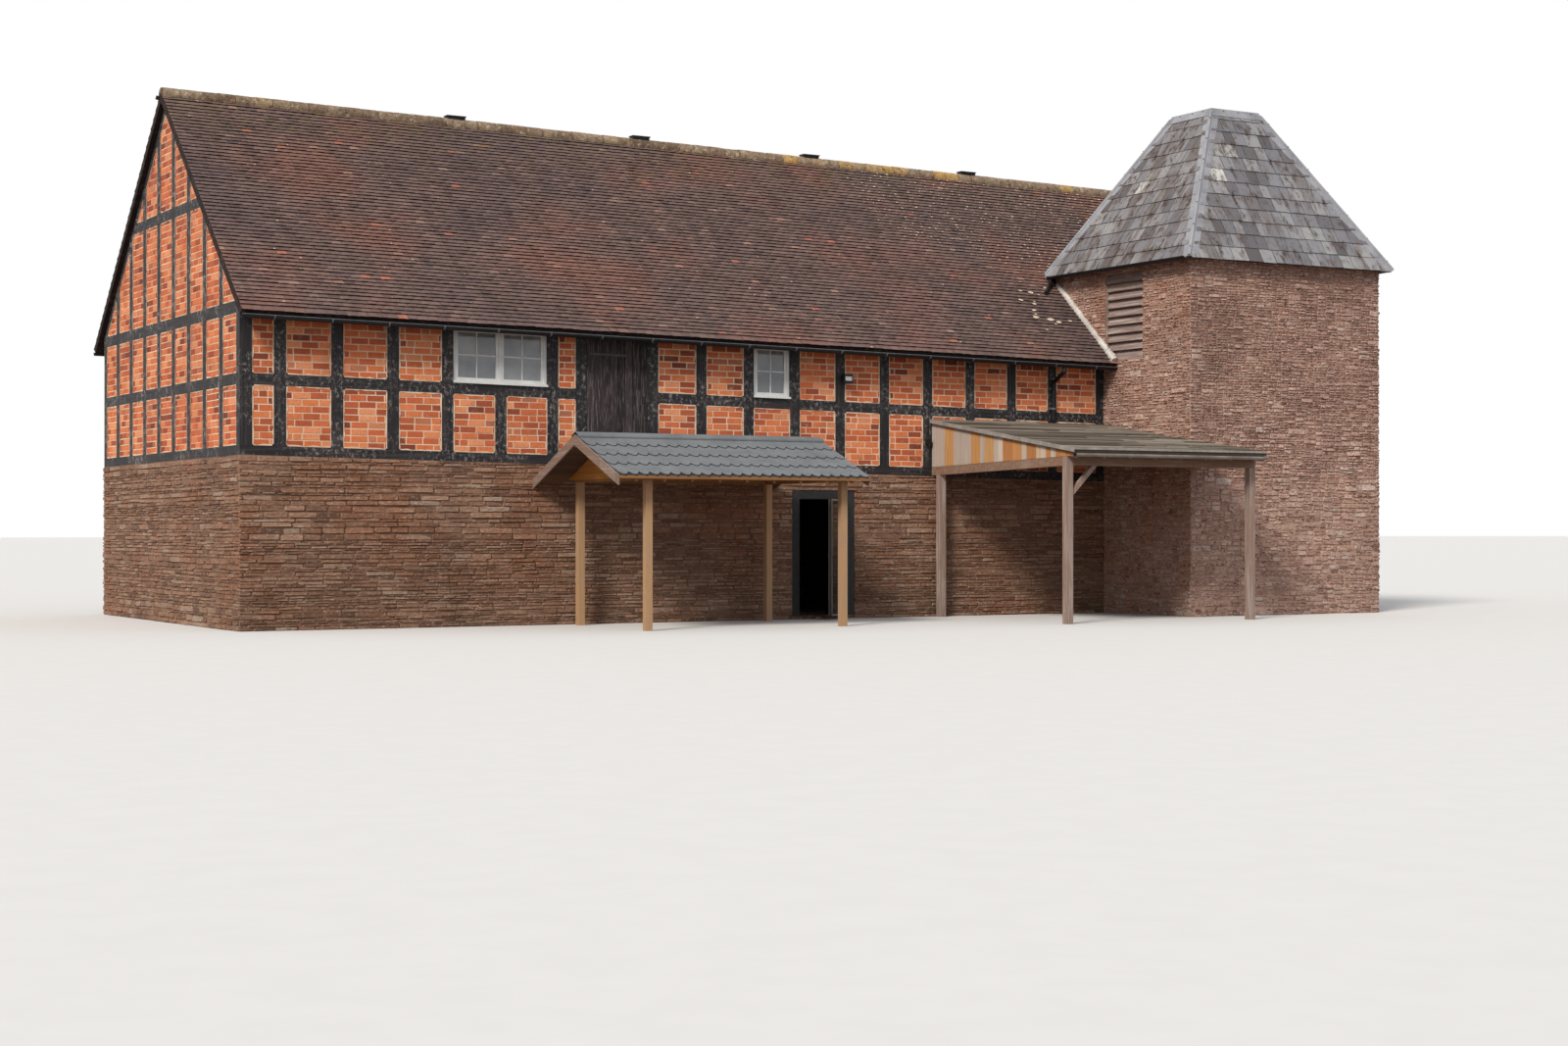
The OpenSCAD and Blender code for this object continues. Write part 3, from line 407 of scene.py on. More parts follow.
def stone(name, palette, stain_and_shade, moss=0.0, warm=(168, 112, 80), fine_shading=1.0, ragged_shading=0.0):
    """Rough stones: a tone for each face, painted shade in level crevices and pits with painted
    highlights beside them, and broad patches.
    """
    m = Material(name, 0.92, 0.2, palette)
    painted_highlight = (240, 222, 204)
    m.over(warm, m.noise(0.8, 5, 0.6), 0.47, 0.62, 0.6)
    m.over(stain_and_shade, m.noise(0.55, 4, 0.5), 0.52, 0.75, 0.3)
    # Painted shade in the level crevices and pits, and painted highlights on the faces between
    # them
    layers = m.noise(1.5, 7, 0.72, m.stretch(5, 5, 21), 0.5)
    m.over(stain_and_shade, layers, 0.42, 0.28, 0.85)
    rough = m.noise(17, 6, 0.7, m.stretch(1, 1, 1.7))
    m.over(stain_and_shade, rough, 0.45, 0.34, 0.8 * fine_shading)
    m.over((228, 204, 182), layers, 0.56, 0.74, 0.55)
    m.over(painted_highlight, rough, 0.54, 0.66, 0.7 * fine_shading)
    bumps = [(layers, 0.9, 0.03), (rough, 0.9, 0.03), (m.noise(90, 5, 0.7), 0.3, 0.003)]
    if ragged_shading:
        # Ragged streaks of painted shade and painted highlight
        torn = m.noise(6.5, 5, 0.68, m.stretch(1, 1, 2.6), 1.6)
        m.over(stain_and_shade, torn, 0.46, 0.36, ragged_shading)
        m.over(painted_highlight, torn, 0.57, 0.68, ragged_shading * 0.7)
        bumps.append((torn, 0.8, 0.04))
    if moss:
        low = m.span(m.height(), 0.1, 1.6, 1, 0)
        green = m.span(m.noise(3.0, 5, 0.7), 0.45, 0.65, 0, moss)
        m.lay((82, 82, 56), m.calc("MULTIPLY", low, green))
    m.done(*bumps, rough=m.span(rough, 0.3, 0.7, 0.8, 0.98))


def timber(name, axis, dark, worn, amount, flecks=0.0):
    """Wood with its grain along one axis, worn where the grain stands up."""
    m = Material(name, 0.75, 0.3, dark)
    vec = m.grain(axis, 0.7, 16)
    grain = m.noise(1.6, 7, 0.7, vec, 0.4)
    fibre = m.noise(6, 6, 0.75, vec)
    broad = m.noise(1.3, 4, 0.6)
    m.over(worn, grain, 0.48, 0.68, amount)
    m.over(worn, broad, 0.58, 0.75, amount * 0.6)
    m.over((22, 18, 16), fibre, 0.56, 0.74, 0.6)
    scuffs = m.noise(11, 6, 0.8, m.stretch(1, 1, 0.7))
    m.over(worn, scuffs, 0.6, 0.7, amount * 0.6)
    if flecks:
        spots = m.span(m.noise(15, 6, 0.8, m.stretch(1, 1, 0.8)), 0.52, 0.62, 0, flecks)
        m.lay((164, 156, 152), m.calc("MULTIPLY", m.span(broad, 0.4, 0.56), spots))
    m.done((grain, 0.5, 0.006), (fibre, 0.35, 0.002), rough=m.span(grain, 0.3, 0.7, 0.6, 0.85))


def board(name, axis, palette, rough=0.8, dirt=0.5, pale=(205, 190, 160),
          fibres=(0.58, 0.78, 0.35)):
    """Separate boards: each has the tone of its faces, with grain along one axis."""
    m = Material(name, rough, 0.25, palette)
    vec = m.grain(axis, 0.8, 18)
    grain = m.noise(1.5, 7, 0.7, vec, 0.5)
    fibre = m.noise(5, 6, 0.7, vec)
    m.over(m.mix(m.color, (40, 30, 22), 0.6), grain, 0.45, 0.75, dirt)
    m.over(pale, fibre, *fibres)
    m.done((grain, 0.4, 0.004), (fibre, 0.3, 0.002))


def slate(name, shade, brown):
    """Grey slates with brown streaks that run down over several courses."""
    m = Material(name, 0.65, 0.3, {
        0.0: (90, 86, 88), 0.2: (112, 109, 112), 0.4: (128, 126, 129), 0.6: (142, 140, 141),
        0.8: (154, 151, 149), 0.96: (164, 161, 156), 1.0: (208, 204, 196)})
    # shade lays painted shade over all the slates of a slope
    m.lay((96, 84, 78), shade)
    bands = m.noise(1.15, 5, 0.65, m.stretch(1.7, 1.7, 0.14))
    m.over((94, 80, 72), bands, 0.5, 0.6, brown * 0.75)
    streak = m.noise(2.6, 6, 0.7, m.stretch(2.6, 2.6, 0.25))
    m.over((86, 70, 60), streak, 0.51, 0.6, brown)
    m.over((54, 44, 40), streak, 0.58, 0.67, 0.85)
    m.over((78, 72, 70), m.noise(9, 5, 0.7), 0.56, 0.7, 0.5)
    m.over((186, 180, 168), m.noise(34, 5, 0.7), 0.62, 0.74, 0.4)
    m.done((m.noise(30, 6, 0.6), 0.3, 0.003), rough=m.span(streak, 0.4, 0.7, 0.55, 0.8))


def lead(name, light, dark, rough=0.5):
    m = Material(name, rough, 0.4, light)
    m.over(dark, m.noise(2.6, 6, 0.65), 0.35, 0.7)
    m.over((206, 206, 202), m.noise(14, 5, 0.7), 0.62, 0.78, 0.5)
    m.done((m.noise(9, 5), 0.25, 0.006),
           rough=m.span(m.noise(7, 4), 0.3, 0.7, rough - 0.1, rough + 0.15))


def sheet(name, light, dark):
    m = Material(name, 0.6, 0.35, light)
    wear = m.noise(3.2, 6, 0.65)
    m.over(dark, wear, 0.35, 0.65)
    m.over((134, 136, 134), m.noise(18, 5, 0.7), 0.62, 0.8, 0.35)
    m.done((m.noise(60, 4), 0.15, 0.001), rough=m.span(wear, 0.3, 0.7, 0.5, 0.7))


def glass(name, light, dark, clear, shine):
    m = Material(name, 0.06, shine, light)
    m.put(m.shader.inputs["Transmission Weight"], clear)
    m.put(m.shader.inputs["IOR"], 1.5)
    m.over(dark, m.noise(1.8, 3), 0.4, 0.6)
    m.done((m.noise(3, 2), 0.04, 0.01))


def plain(name, light, dark, rough, scale=8.0, metallic=0.0, specular=0.5):
    m = Material(name, rough, specular, light, metallic)
    spots = m.noise(scale, 6, 0.65)
    m.over(dark, spots, 0.3, 0.7)
    m.done((m.noise(scale * 8, 4), 0.15, 0.002),
           rough=m.span(spots, 0.3, 0.7, rough - 0.1, min(1, rough + 0.1)))


mortar("range_mortar", (144, 114, 94), (94, 72, 58))
mortar("kiln_mortar", (176, 140, 122), (122, 94, 80), (190, 158, 136))
mortar("brick_mortar", (242, 216, 188), (214, 176, 144), smear=(196, 112, 78),
       grime=(120, 84, 66), dirt=0.4)
mortar("slate_gap", (58, 52, 48), (38, 33, 30))
mortar("pale_mortar", (222, 214, 204), (182, 172, 162))

RANGE_STONES = {0.0: (112, 82, 64), 0.2: (142, 106, 84), 0.5: (160, 120, 96),
                0.8: (176, 136, 110), 1.0: (178, 152, 132)}
KILN_STONES = {0.0: (176, 138, 122), 0.15: (200, 158, 140), 0.5: (214, 173, 153),
               0.85: (226, 188, 168), 1.0: (226, 204, 190)}
stone("range_stone", RANGE_STONES, (80, 56, 44), 0.3, (160, 106, 76), 0.5)
stone("kiln_stone", KILN_STONES, (96, 66, 58), 0.15, (186, 144, 132), 0.8, 0.95)
stone("kiln_left_stone", KILN_STONES, (104, 66, 50), 0.15, (208, 136, 94), 0.8, 0.95)
stone("floor_stone", RANGE_STONES, (90, 80, 70))

for axis in "xyz":
    timber("black_timber_" + axis, axis, (28, 26, 29), (96, 88, 84), 0.5, 0.8)
timber("grey_oak", "y", (134, 112, 102), (204, 188, 176), 0.75)
timber("weathered_post", "z", (146, 120, 106), (190, 176, 166), 0.85, 0.3)
timber("weathered_beam", "x", (132, 100, 78), (164, 144, 128), 0.8)
timber("weathered_side", "y", (140, 122, 112), (180, 168, 160), 0.8, 0.4)
timber("pine_post", "z", (184, 144, 104), (160, 138, 120), 0.75, 0.15)
timber("pine_beam", "x", (148, 104, 64), (112, 78, 50), 0.7)
timber("floor_boards", "x", (120, 92, 64), (150, 122, 90), 0.6)
timber("old_oak", "y", (96, 72, 50), (120, 96, 70), 0.6)
timber("bargeboard", "y", (128, 104, 90), (160, 142, 130), 0.75, 0.3)

board("stained_boards", "y", {0.0: (166, 108, 50), 0.5: (194, 130, 64), 1.0: (210, 150, 84)})
board("soffit_boards", "x", {0.0: (74, 54, 40), 0.5: (92, 68, 50), 1.0: (116, 88, 64)})
board("side_boards", "z", {0.0: (166, 149, 136), 0.35: (190, 172, 156), 0.6: (208, 188, 168),
                           0.7: (196, 150, 96), 0.85: (192, 134, 80), 1.0: (162, 104, 62)})
board("black_boards", "z", {0.0: (30, 24, 26), 0.5: (42, 34, 36), 1.0: (60, 50, 50)},
      0.8, 0.3, (146, 134, 130), (0.5, 0.66, 0.6))
board("roof_felt", "x", {0.0: (70, 60, 50), 0.4: (100, 88, 74), 0.75: (122, 110, 96),
                         1.0: (156, 146, 134)}, 0.9, 0.8)

slate("slate", 0.0, 0.6)
# The left slope's copy: darker by painted shade, and with browner streaks
slate("brown_slate", 0.28, 0.9)
lead("lead", (158, 157, 160), (122, 121, 125))
lead("lead_nail", (80, 80, 80), (48, 47, 46), 0.6)
sheet("tile_sheet", (116, 118, 119), (101, 103, 105))
# Painted shadow: the steps below the canopy sheet's tails, and the canopy's roof slab
sheet("tile_sheet_step", (44, 46, 48), (32, 34, 36))
# The window glass's pale base colour is painted reflection of the sky
glass("window_glass", (204, 206, 207), (172, 177, 179), 0.6, 0.6)
glass("door_glass", (96, 104, 100), (80, 88, 84), 0.75, 0.3)

plain("black_plastic", (34, 33, 34), (22, 22, 23), 0.5, specular=0.2)
plain("gutter_bracket", (116, 116, 118), (84, 84, 86), 0.5)
plain("window_paint", (230, 229, 224), (204, 204, 199), 0.5, 5)
plain("door_metal", (178, 170, 160), (140, 132, 122), 0.4, 6, 0.15)
plain("dark_metal", (52, 50, 48), (34, 32, 31), 0.45, 9, 0.5)
plain("door_frame", (30, 28, 29), (20, 19, 20), 0.7, 12)
plain("lamp_lens", (206, 204, 200), (176, 172, 168), 0.3, 14)
# Pale grey of the lean-to's drip edge, also laid on its gutter as painted sheen
plain("drip_edge_and_sheen", (166, 158, 150), (120, 112, 104), 0.7, 5)
plain("lichen", (226, 210, 186), (194, 170, 142), 0.95, 30)

# Bricks
m = Material("brick", 0.88, 0.25, {
    0.0: (118, 62, 48), 0.08: (172, 86, 56), 0.35: (208, 108, 66), 0.75: (226, 132, 82),
    0.93: (234, 156, 110), 1.0: (168, 96, 72)})
mottle = m.noise(30, 6, 0.7)
m.over((140, 66, 44), mottle, 0.5, 0.75, 0.6)
m.over((240, 206, 172), m.noise(12, 5, 0.7), 0.6, 0.78, 0.45)
m.over((96, 54, 40), m.noise(1.4, 4), 0.52, 0.72, 0.4)
m.done((mottle, 0.7, 0.006))

# Clay roof tiles: brown to purple-red, with lichen specks and moss near the ridge
m = Material("clay_tile", 0.9, 0.25, {
    0.0: (88, 70, 67), 0.2: (103, 82, 77), 0.6: (116, 92, 85), 0.88: (132, 104, 94),
    0.96: (158, 126, 111), 1.0: (172, 108, 88)})
broad = m.noise(0.42, 5, 0.55)
m.over((140, 92, 76), broad, 0.5, 0.66, 0.5)
m.over((88, 76, 78), broad, 0.5, 0.34, 0.5)
streak = m.noise(2.2, 5, 0.65, m.stretch(2.4, 0.5, 0.5))
m.over((60, 48, 44), streak, 0.5, 0.75, 0.5)
specks = m.noise(24, 5, 0.75)
m.over((176, 158, 136), specks, 0.6, 0.72, 0.6)
moss = m.calc("MULTIPLY", m.span(m.height(), 7.6, 8.9, 0.1, 1),
              m.span(m.noise(4, 5, 0.7), 0.48, 0.62))
m.lay((112, 100, 66), m.calc("MULTIPLY", moss, 0.6))
m.done((specks, 0.5, 0.004), (m.noise(120, 4), 0.3, 0.001))

# Tile tails and the roof slabs' edges: painted shade under each course of tiles
m = Material("tile_edge", 0.95, 0.2, (38, 29, 27))
m.over((86, 68, 60), m.noise(9, 5, 0.7), 0.52, 0.72)
m.done((m.noise(60, 4), 0.4, 0.002))

# Ridge clay under moss and lichen: brown-grey, speckled pale and here and there orange
m = Material("ridge_clay", 0.92, 0.2, {
    0.0: (104, 84, 68), 0.5: (128, 106, 86), 0.75: (150, 128, 106), 1.0: (186, 146, 84)})
spots = m.noise(13, 6, 0.75)
m.over((64, 52, 42), spots, 0.48, 0.36, 0.8)
m.over((206, 190, 160), spots, 0.55, 0.66, 0.8)
m.over((196, 136, 64), m.noise(1.9, 5, 0.7), 0.6, 0.7, 0.6)
m.over((92, 88, 54), m.noise(5, 5, 0.7), 0.55, 0.68, 0.5)
m.done((m.noise(26, 5), 0.9, 0.02))


# The nodes by their material, and by the width of their worn edges

for material, nodes in {
        "range_mortar": "front_stone_wall_left front_stone_wall_right wall_over_door "
                        "left_stone_wall rear_stone_wall right_stone_wall",
        "kiln_mortar": "kiln_front_wall kiln_left_wall kiln_right_wall kiln_rear_wall",
        "brick_mortar": "brick_panels gable_panels",
        "black_timber_x": "sill_beams wall_plates wall_rails",
        "black_timber_y": "gable_frames",
        "black_timber_z": "wall_studs",
        "floor_stone": "ground_floor",
        "floor_boards": "upper_floor",
        "old_oak": "floor_beams",
        "window_paint": "window_frames",
        "window_glass": "window_glass",
        "black_boards": "loading_door",
        "door_frame": "door_frame",
        "dark_metal": "door_leaf",
        "door_glass": "door_glass",
        "tile_edge": "roof_front roof_rear",
        "ridge_clay": "ridge_tiles",
        "black_plastic": "ridge_vents gutters downpipe wall_lights",
        "grey_oak": "kiln_louvre",
        "slate_gap": "kiln_roof",
        "lead": "kiln_leadwork",
        "pale_mortar": "mortar_fillet",
        "weathered_post": "lean_to_posts",
        "weathered_beam": "lean_to_beams",
        "weathered_side": "lean_to_rafters",
        "roof_felt": "lean_to_roof",
        "side_boards": "lean_to_side_boards",
        "pine_post": "canopy_posts",
        "pine_beam": "canopy_beams",
        "bargeboard": "canopy_gables",
        "tile_sheet_step": "canopy_roof"}.items():
    for node in nodes.split():
        NODES[node].data.materials.clear()
        NODES[node].data.materials.append(MAT[material])
for width, nodes in {0.01: "sill_beams ridge_vents floor_beams",
                     0.008: "wall_studs wall_rails lean_to_beams",
                     0.006: "wall_plates gable_frames lean_to_posts canopy_posts canopy_beams "
                            "kiln_leadwork",
                     0.004: "door_frame lean_to_rafters",
                     0.003: "door_leaf window_frames kiln_louvre"}.items():
    for node in nodes.split():
        bevel(NODES[node], width)


# Rubble walls

STONE_GAP = 0.004
STONE_OUT = 0.014
WALL_TOP = fall(LEFT, SILL_LOW)
LOUVRE_LOW, LOUVRE_HIGH = box("kiln_louvre")
LARGE_BELOW = 2.4
# Heights from which the kiln's left and rear walls show beyond the range
LEFT_SHOWS = 3.4
REAR_SHOWS = 5.2


def stone_outline(u0, u1, v0, v1):
    """A stone between its joints, with knocked-off corners."""
    cut = min(u1 - u0, v1 - v0) * 0.3
    pts = []
    for x, y, sx, sy in ((u0, v0, 1, 1), (u1, v0, -1, 1), (u1, v1, -1, -1), (u0, v1, 1, -1)):
        a = uniform(0.15, 1) * cut
        b = uniform(0.15, 1) * cut
        one = (x + sx * a, y + uniform(0, 0.007) * sy)
        two = (x + uniform(0, 0.007) * sx, y + sy * b)
        pts += [two, one] if sx * sy > 0 else [one, two]
    return pts


def coursed(u0, u1, v0, v1):
    """Stones in courses of uneven height, each as its sides, foot and top."""
    v = v0
    while v < v1 - 0.03:
        course = DRAWS.choice((0.035, 0.045, 0.055, 0.065, 0.08, 0.1))
        if v + course > v1 - 0.04:
            course = v1 - v
        wave = uniform(0, 6.28)
        start = u0 - uniform(0, 0.016)
        u = u0 - uniform(0, 0.2)
        while u < u1:
            length = uniform(2.2, 6) * min(course, 0.08) + uniform(0.03, 0.15)
            lift = 0.007 * sin(u * 1.7 + wave) + uniform(-0.007, 0.007)
            yield max(u, start), min(u + length, u1), v + lift, v + course + lift
            u += length
        v += course


def split(u0, u1, v0, v1):
    """A block of wall broken into stones at random, lower than they are long, and larger in
    the wall's foot."""
    h = v1 - v0
    if h > (uniform(0.08, 0.18) if v0 < LARGE_BELOW else uniform(0.05, 0.13)):
        cut = v0 + h * uniform(0.35, 0.65)
        return split(u0, u1, v0, cut) + split(u0, u1, cut, v1)
    if u1 - u0 > h * uniform(1.8, 4.5) + 0.04:
        cut = u0 + (u1 - u0) * uniform(0.3, 0.7)
        return split(u0, cut, v0, v1) + split(cut, u1, v0, v1)
    return [(u0, u1, v0, v1)]


def broken(u0, u1, v0, v1):
    """Stones without courses: staggered blocks that are broken up each on its own."""
    v = v0
    while v < v1 - 0.03:
        course = uniform(0.14, 0.26)
        if v + course > v1 - 0.08:
            course = v1 - v
        start = u0 - uniform(0, 0.016)
        u = u0 - uniform(0, 0.3)
        while u < u1:
            length = uniform(0.16, 0.5)
            lift = 0.016 * sin(u * 2.3 + v) + uniform(-0.014, 0.014)
            for a, b, low, high in split(u, u + length, v + lift, v + course + lift):
                yield max(a, start), min(b, u1), low, high
            u += length
        v += course


def beside(part, left, right, low, high):
    """What is left of a stone at the better side of a hole in the wall."""
    us, vs = zip(*part)
    if max(us) < left or min(us) > right or max(vs) < low or min(vs) > high:
        return part
    room, cut = max((left - min(us), (1, 0, left)), (max(us) - right, (-1, 0, -right)),
                    (low - min(vs), (0, 1, low)), (max(vs) - high, (0, -1, -high)))
    return clip(part, [cut]) if room > 0.02 else []


def rubble(shape, plane, u0, u1, v0, v1, hole=None, cut=None, stones=coursed, rough=0.6):
    """Rubble over a wall face; a hole is a box left free, a cut is a half plane."""
    for a, b, low, high in stones(u0, u1, v0, v1):
        if b - a < 0.03:
            continue
        joint = uniform(0.004, 0.01)
        part = stone_outline(a + joint, b - joint, max(v0, low) + joint * 0.7,
                             min(v1, high) - joint * 0.7)
        if hole:
            part = beside(part, *hole)
        if part and cut:
            part = clip(part, [cut])
        if part:
            lean = (uniform(-0.08, 0.08) * rough, uniform(-0.3, 0.3) * rough)
            raised(shape, plane, part, -0.004, uniform(0.008, 0.024),
                   uniform(0.006, 0.014), chance(), tilt=lean)


BROKEN = {"stones": broken, "rough": 1.0}
seed(11)
for name, slot, material, walls in (
        ("front_wall_stones", "range_rubble", "range_stone", [
            (Plane((0, FRONT, 0), X_AXIS), LEFT - STONE_OUT, 0, 0, WALL_TOP,
             {"hole": (DOOR_LEFT, DOOR_RIGHT, -1, DOOR_TOP),
              "cut": (FALL, 1, SILL_LOW - STONE_GAP)})]),
        ("rear_wall_stones", "range_rubble", "range_stone", [
            (Plane((0, REAR, 0), BACK_X), -RIGHT - STONE_OUT, -LEFT + STONE_OUT, 0, WALL_TOP,
             {"cut": (-FALL, 1, SILL_LOW - STONE_GAP)})]),
        ("end_wall_stones", "range_rubble", "range_stone", [
            (Plane((LEFT, 0, 0), BACK_Y), -REAR - STONE_OUT, -FRONT + STONE_OUT, 0,
             WALL_TOP - STONE_GAP, {}),
            (Plane((RIGHT, 0, 0), Y_AXIS), KILN_Y, REAR + STONE_OUT, 0,
             fall(RIGHT, SILL_LOW) - STONE_GAP, {})]),
        ("kiln_front_stones", "kiln_rubble", "kiln_stone", [
            (Plane((0, 0, 0), X_AXIS), -STONE_OUT, KILN_X + STONE_OUT, 0, KILN_Z, BROKEN),
            (Plane((KILN_X, 0, 0), Y_AXIS), -STONE_OUT, KILN_Y, 0, KILN_Z, BROKEN)]),
        ("kiln_side_stones", "kiln_rubble", "kiln_left_stone", [
            (Plane((0, 0, 0), BACK_Y), -FRONT, STONE_OUT, 0.006, LEFT_SHOWS, BROKEN),
            (Plane((0, 0, 0), BACK_Y), -KILN_Y, STONE_OUT, LEFT_SHOWS, KILN_Z,
             {"hole": (-LOUVRE_HIGH[1], -LOUVRE_LOW[1], LOUVRE_LOW[2], LOUVRE_HIGH[2]),
              **BROKEN}),
            (Plane((0, KILN_Y, 0), BACK_X), -KILN_X, 0, REAR_SHOWS, KILN_Z, BROKEN)])):
    shape = Shape()
    for plane, u0, u1, v0, v1, options in walls:
        rubble(shape, plane, u0, u1, v0, v1, **options)
    shape.build(name, slot, material)


# Brickwork between the timbers

COURSE = 0.106
BRICK_LENGTH = 0.284
JOINT = 0.018
BRICK_SET = 0.012
CORNER = 0.18


def bricks(shape, plane, poly):
    """Brick courses inside a flat convex outline, each brick with its own tone and place."""
    us, vs = zip(*poly)
    cuts = []
    for p, q in edges(poly):
        a = q[1] - p[1]
        b = p[0] - q[0]
        r = hypot(a, b)
        if r > 1e-6:
            cuts.append((a / r, b / r, (a * p[0] + b * p[1]) / r - JOINT * 0.4))
    row = 0
    v = min(vs) + JOINT * 0.5
    while v < max(vs):
        u = min(us) - (0.5 * BRICK_LENGTH if row % 2 else 0) - uniform(0, 0.03)
        while u < max(us):
            w = BRICK_LENGTH * (0.5 if chance() < 0.07 else 1) * uniform(0.96, 1.04)
            low = v + uniform(-0.0025, 0.0025)
            right = u + w - JOINT
            high = low + COURSE - JOINT
            part = clip([(u, low), (right, low), (right, high), (u, high)], cuts)
            if part and area(part) > 0.0008:
                raised(shape, plane, part, -0.002, uniform(0.003, 0.007), 0.0035,
                       chance() ** 1.1)
            u += w
        v += COURSE
        row += 1


def joint_strips(shape, plane, poly):
    """Uneven pale mortar along the edges of a bay, up to the timbers' faces."""
    cx, cy = middle(poly)
    for p, q in edges(poly):
        length = dist(p, q)
        if length < 0.1:
            continue
        du, dv = (q[0] - p[0]) / length, (q[1] - p[1]) / length
        nu, nv = -dv, du
        if nu * (cx - p[0]) + nv * (cy - p[1]) < 0:
            nu, nv = -nu, -nv
        n = max(2, int(length / 0.07))
        ends = []
        for k in range(n + 1):
            t = length * k / n
            wide = uniform(0.004, 0.03)
            u, v = p[0] + du * t, p[1] + dv * t
            ends.append(((u, v), (u + nu * wide, v + nv * wide)))
        for (a, b), (d, c) in zip(ends, ends[1:]):
            shape.face([plane.at(u, v, 0.0095) for u, v in turned([a, d, c, b])])


def stud_x(i):
    if i == 0:
        return -0.0003 - STUD_W / 2
    if i == 11:
        return -STUD_START - 10 * STUD_PITCH - 1.12 - STUD_W
    return -STUD_START - i * STUD_PITCH


def brick_wall(name, plane, row, side, solid, windows):
    """The bays between a row of studs, without the solid one and the windows'."""
    shape = Shape()
    for i in range(len(row) - 1):
        ends = sorted((side * (row[i + 1] + STUD_W / 2), side * (row[i] - STUD_W / 2)))
        for low, high in ((SILL_TOP, RAIL_LOW), (RAIL_TOP, PLATE_LOW)):
            if i == solid or high == PLATE_LOW and i in windows:
                continue
            bay = [(u, v - u * side * FALL) for u, v in (
                (ends[0], low), (ends[1], low), (ends[1], high), (ends[0], high))]
            bricks(shape, plane, bay)
            joint_strips(strips, plane, bay)
    shape.build(name, "brick", "brick")


def gable_bays(y0, y1):
    """Bays of a gable as outlines in distance back and height, before the frame's fall."""
    bays = round((y1 - y0) / STUD_PITCH)
    pitch = (y1 - y0 + STUD_W) / bays
    collar = PLATE_TOP + (REAR - FRONT) * 0.22
    ridge = RIDGE_TOP - ROOF_THICK / ROOF_COS
    norm = hypot(ROOF_TAN, 1)
    roof = [(side * ROOF_TAN / norm, 1 / norm, (ridge + side * RIDGE_Y * ROOF_TAN - 0.17) / norm)
            for side in (1, -1)]
    for i in range(bays):
        a = y0 + i * pitch
        b = a + pitch - STUD_W
        for low, high in ((SILL_TOP, RAIL_LOW), (RAIL_TOP, PLATE_LOW), (PLATE_TOP, collar - 0.17),
                          (collar, ridge)):
            poly = clip([(a, low), (b, low), (b, high), (a, high)], roof)
            if poly and area(poly) > 0.004:
                yield poly


FRONT_ROW = [stud_x(i) for i in range(18)] + [LEFT + STUD_W / 2]
REAR_ROW = [RIGHT - STUD_W / 2 - i * STUD_PITCH for i in range(23)] + [LEFT + STUD_W / 2]
seed(5)
strips = Shape()
brick_wall("front_bricks", Plane((0, FRONT + BRICK_SET, 0), X_AXIS), FRONT_ROW, 1, 10,
           (7, 12, 13))
brick_wall("rear_bricks", Plane((0, REAR - BRICK_SET, 0), BACK_X), REAR_ROW, -1, None,
           (11, 16, 17))
shape = Shape()
for x, out, start in ((LEFT, -1, FRONT + CORNER), (RIGHT, 1, KILN_Y)):
    x -= out * BRICK_SET
    for bay in gable_bays(start, REAR - CORNER):
        plane, bay = across(x, out, bay, -x * FALL)
        bricks(shape, plane, bay)
        joint_strips(strips, plane, bay)
shape.build("gable_bricks", "brick", "brick")
strips.build("bay_mortar", "brick", "brick_mortar")


# Clay tiles of the range's roof

GAUGE = 0.1
TILE_W = 0.165
BEHIND = (KILN_Y - EAVES_Y) / ROOF_COS


def over_tiles(x, y):
    """Top of the front roof slope."""
    return fall(x, RIDGE_TOP - (RIDGE_Y - y) * ROOF_TAN) + 0.03


def roof_plane(side):
    """A roof slope's upper face, the front's (1) or the rear's (-1): u runs along the range
    and v up the slope from the eaves."""
    eaves = (0, RIDGE_Y - side * (RIDGE_Y - EAVES_Y),
             RIDGE_TOP - (RIDGE_Y - EAVES_Y) * ROOF_TAN)
    return Plane(eaves, (side, 0, -side * FALL), (0, side * ROOF_COS, ROOF_SIN))


def lichen(shape, plane, u, v, w, size):
    """A pale fleck a few centimetres across: a crust of lichen, and near the kiln also painted
    highlight on a tile's tail.
    """
    r = uniform(0.008, 0.028) * size
    pts = [plane.at(u + r * cos(k) * uniform(0.8, 1.5), v + r * sin(k)
                    * uniform(0.4, 0.9), w) for k in (0, 1.05, 2.1, 3.14, 4.2, 5.2)]
    shape.face(pts, chance(), 2)


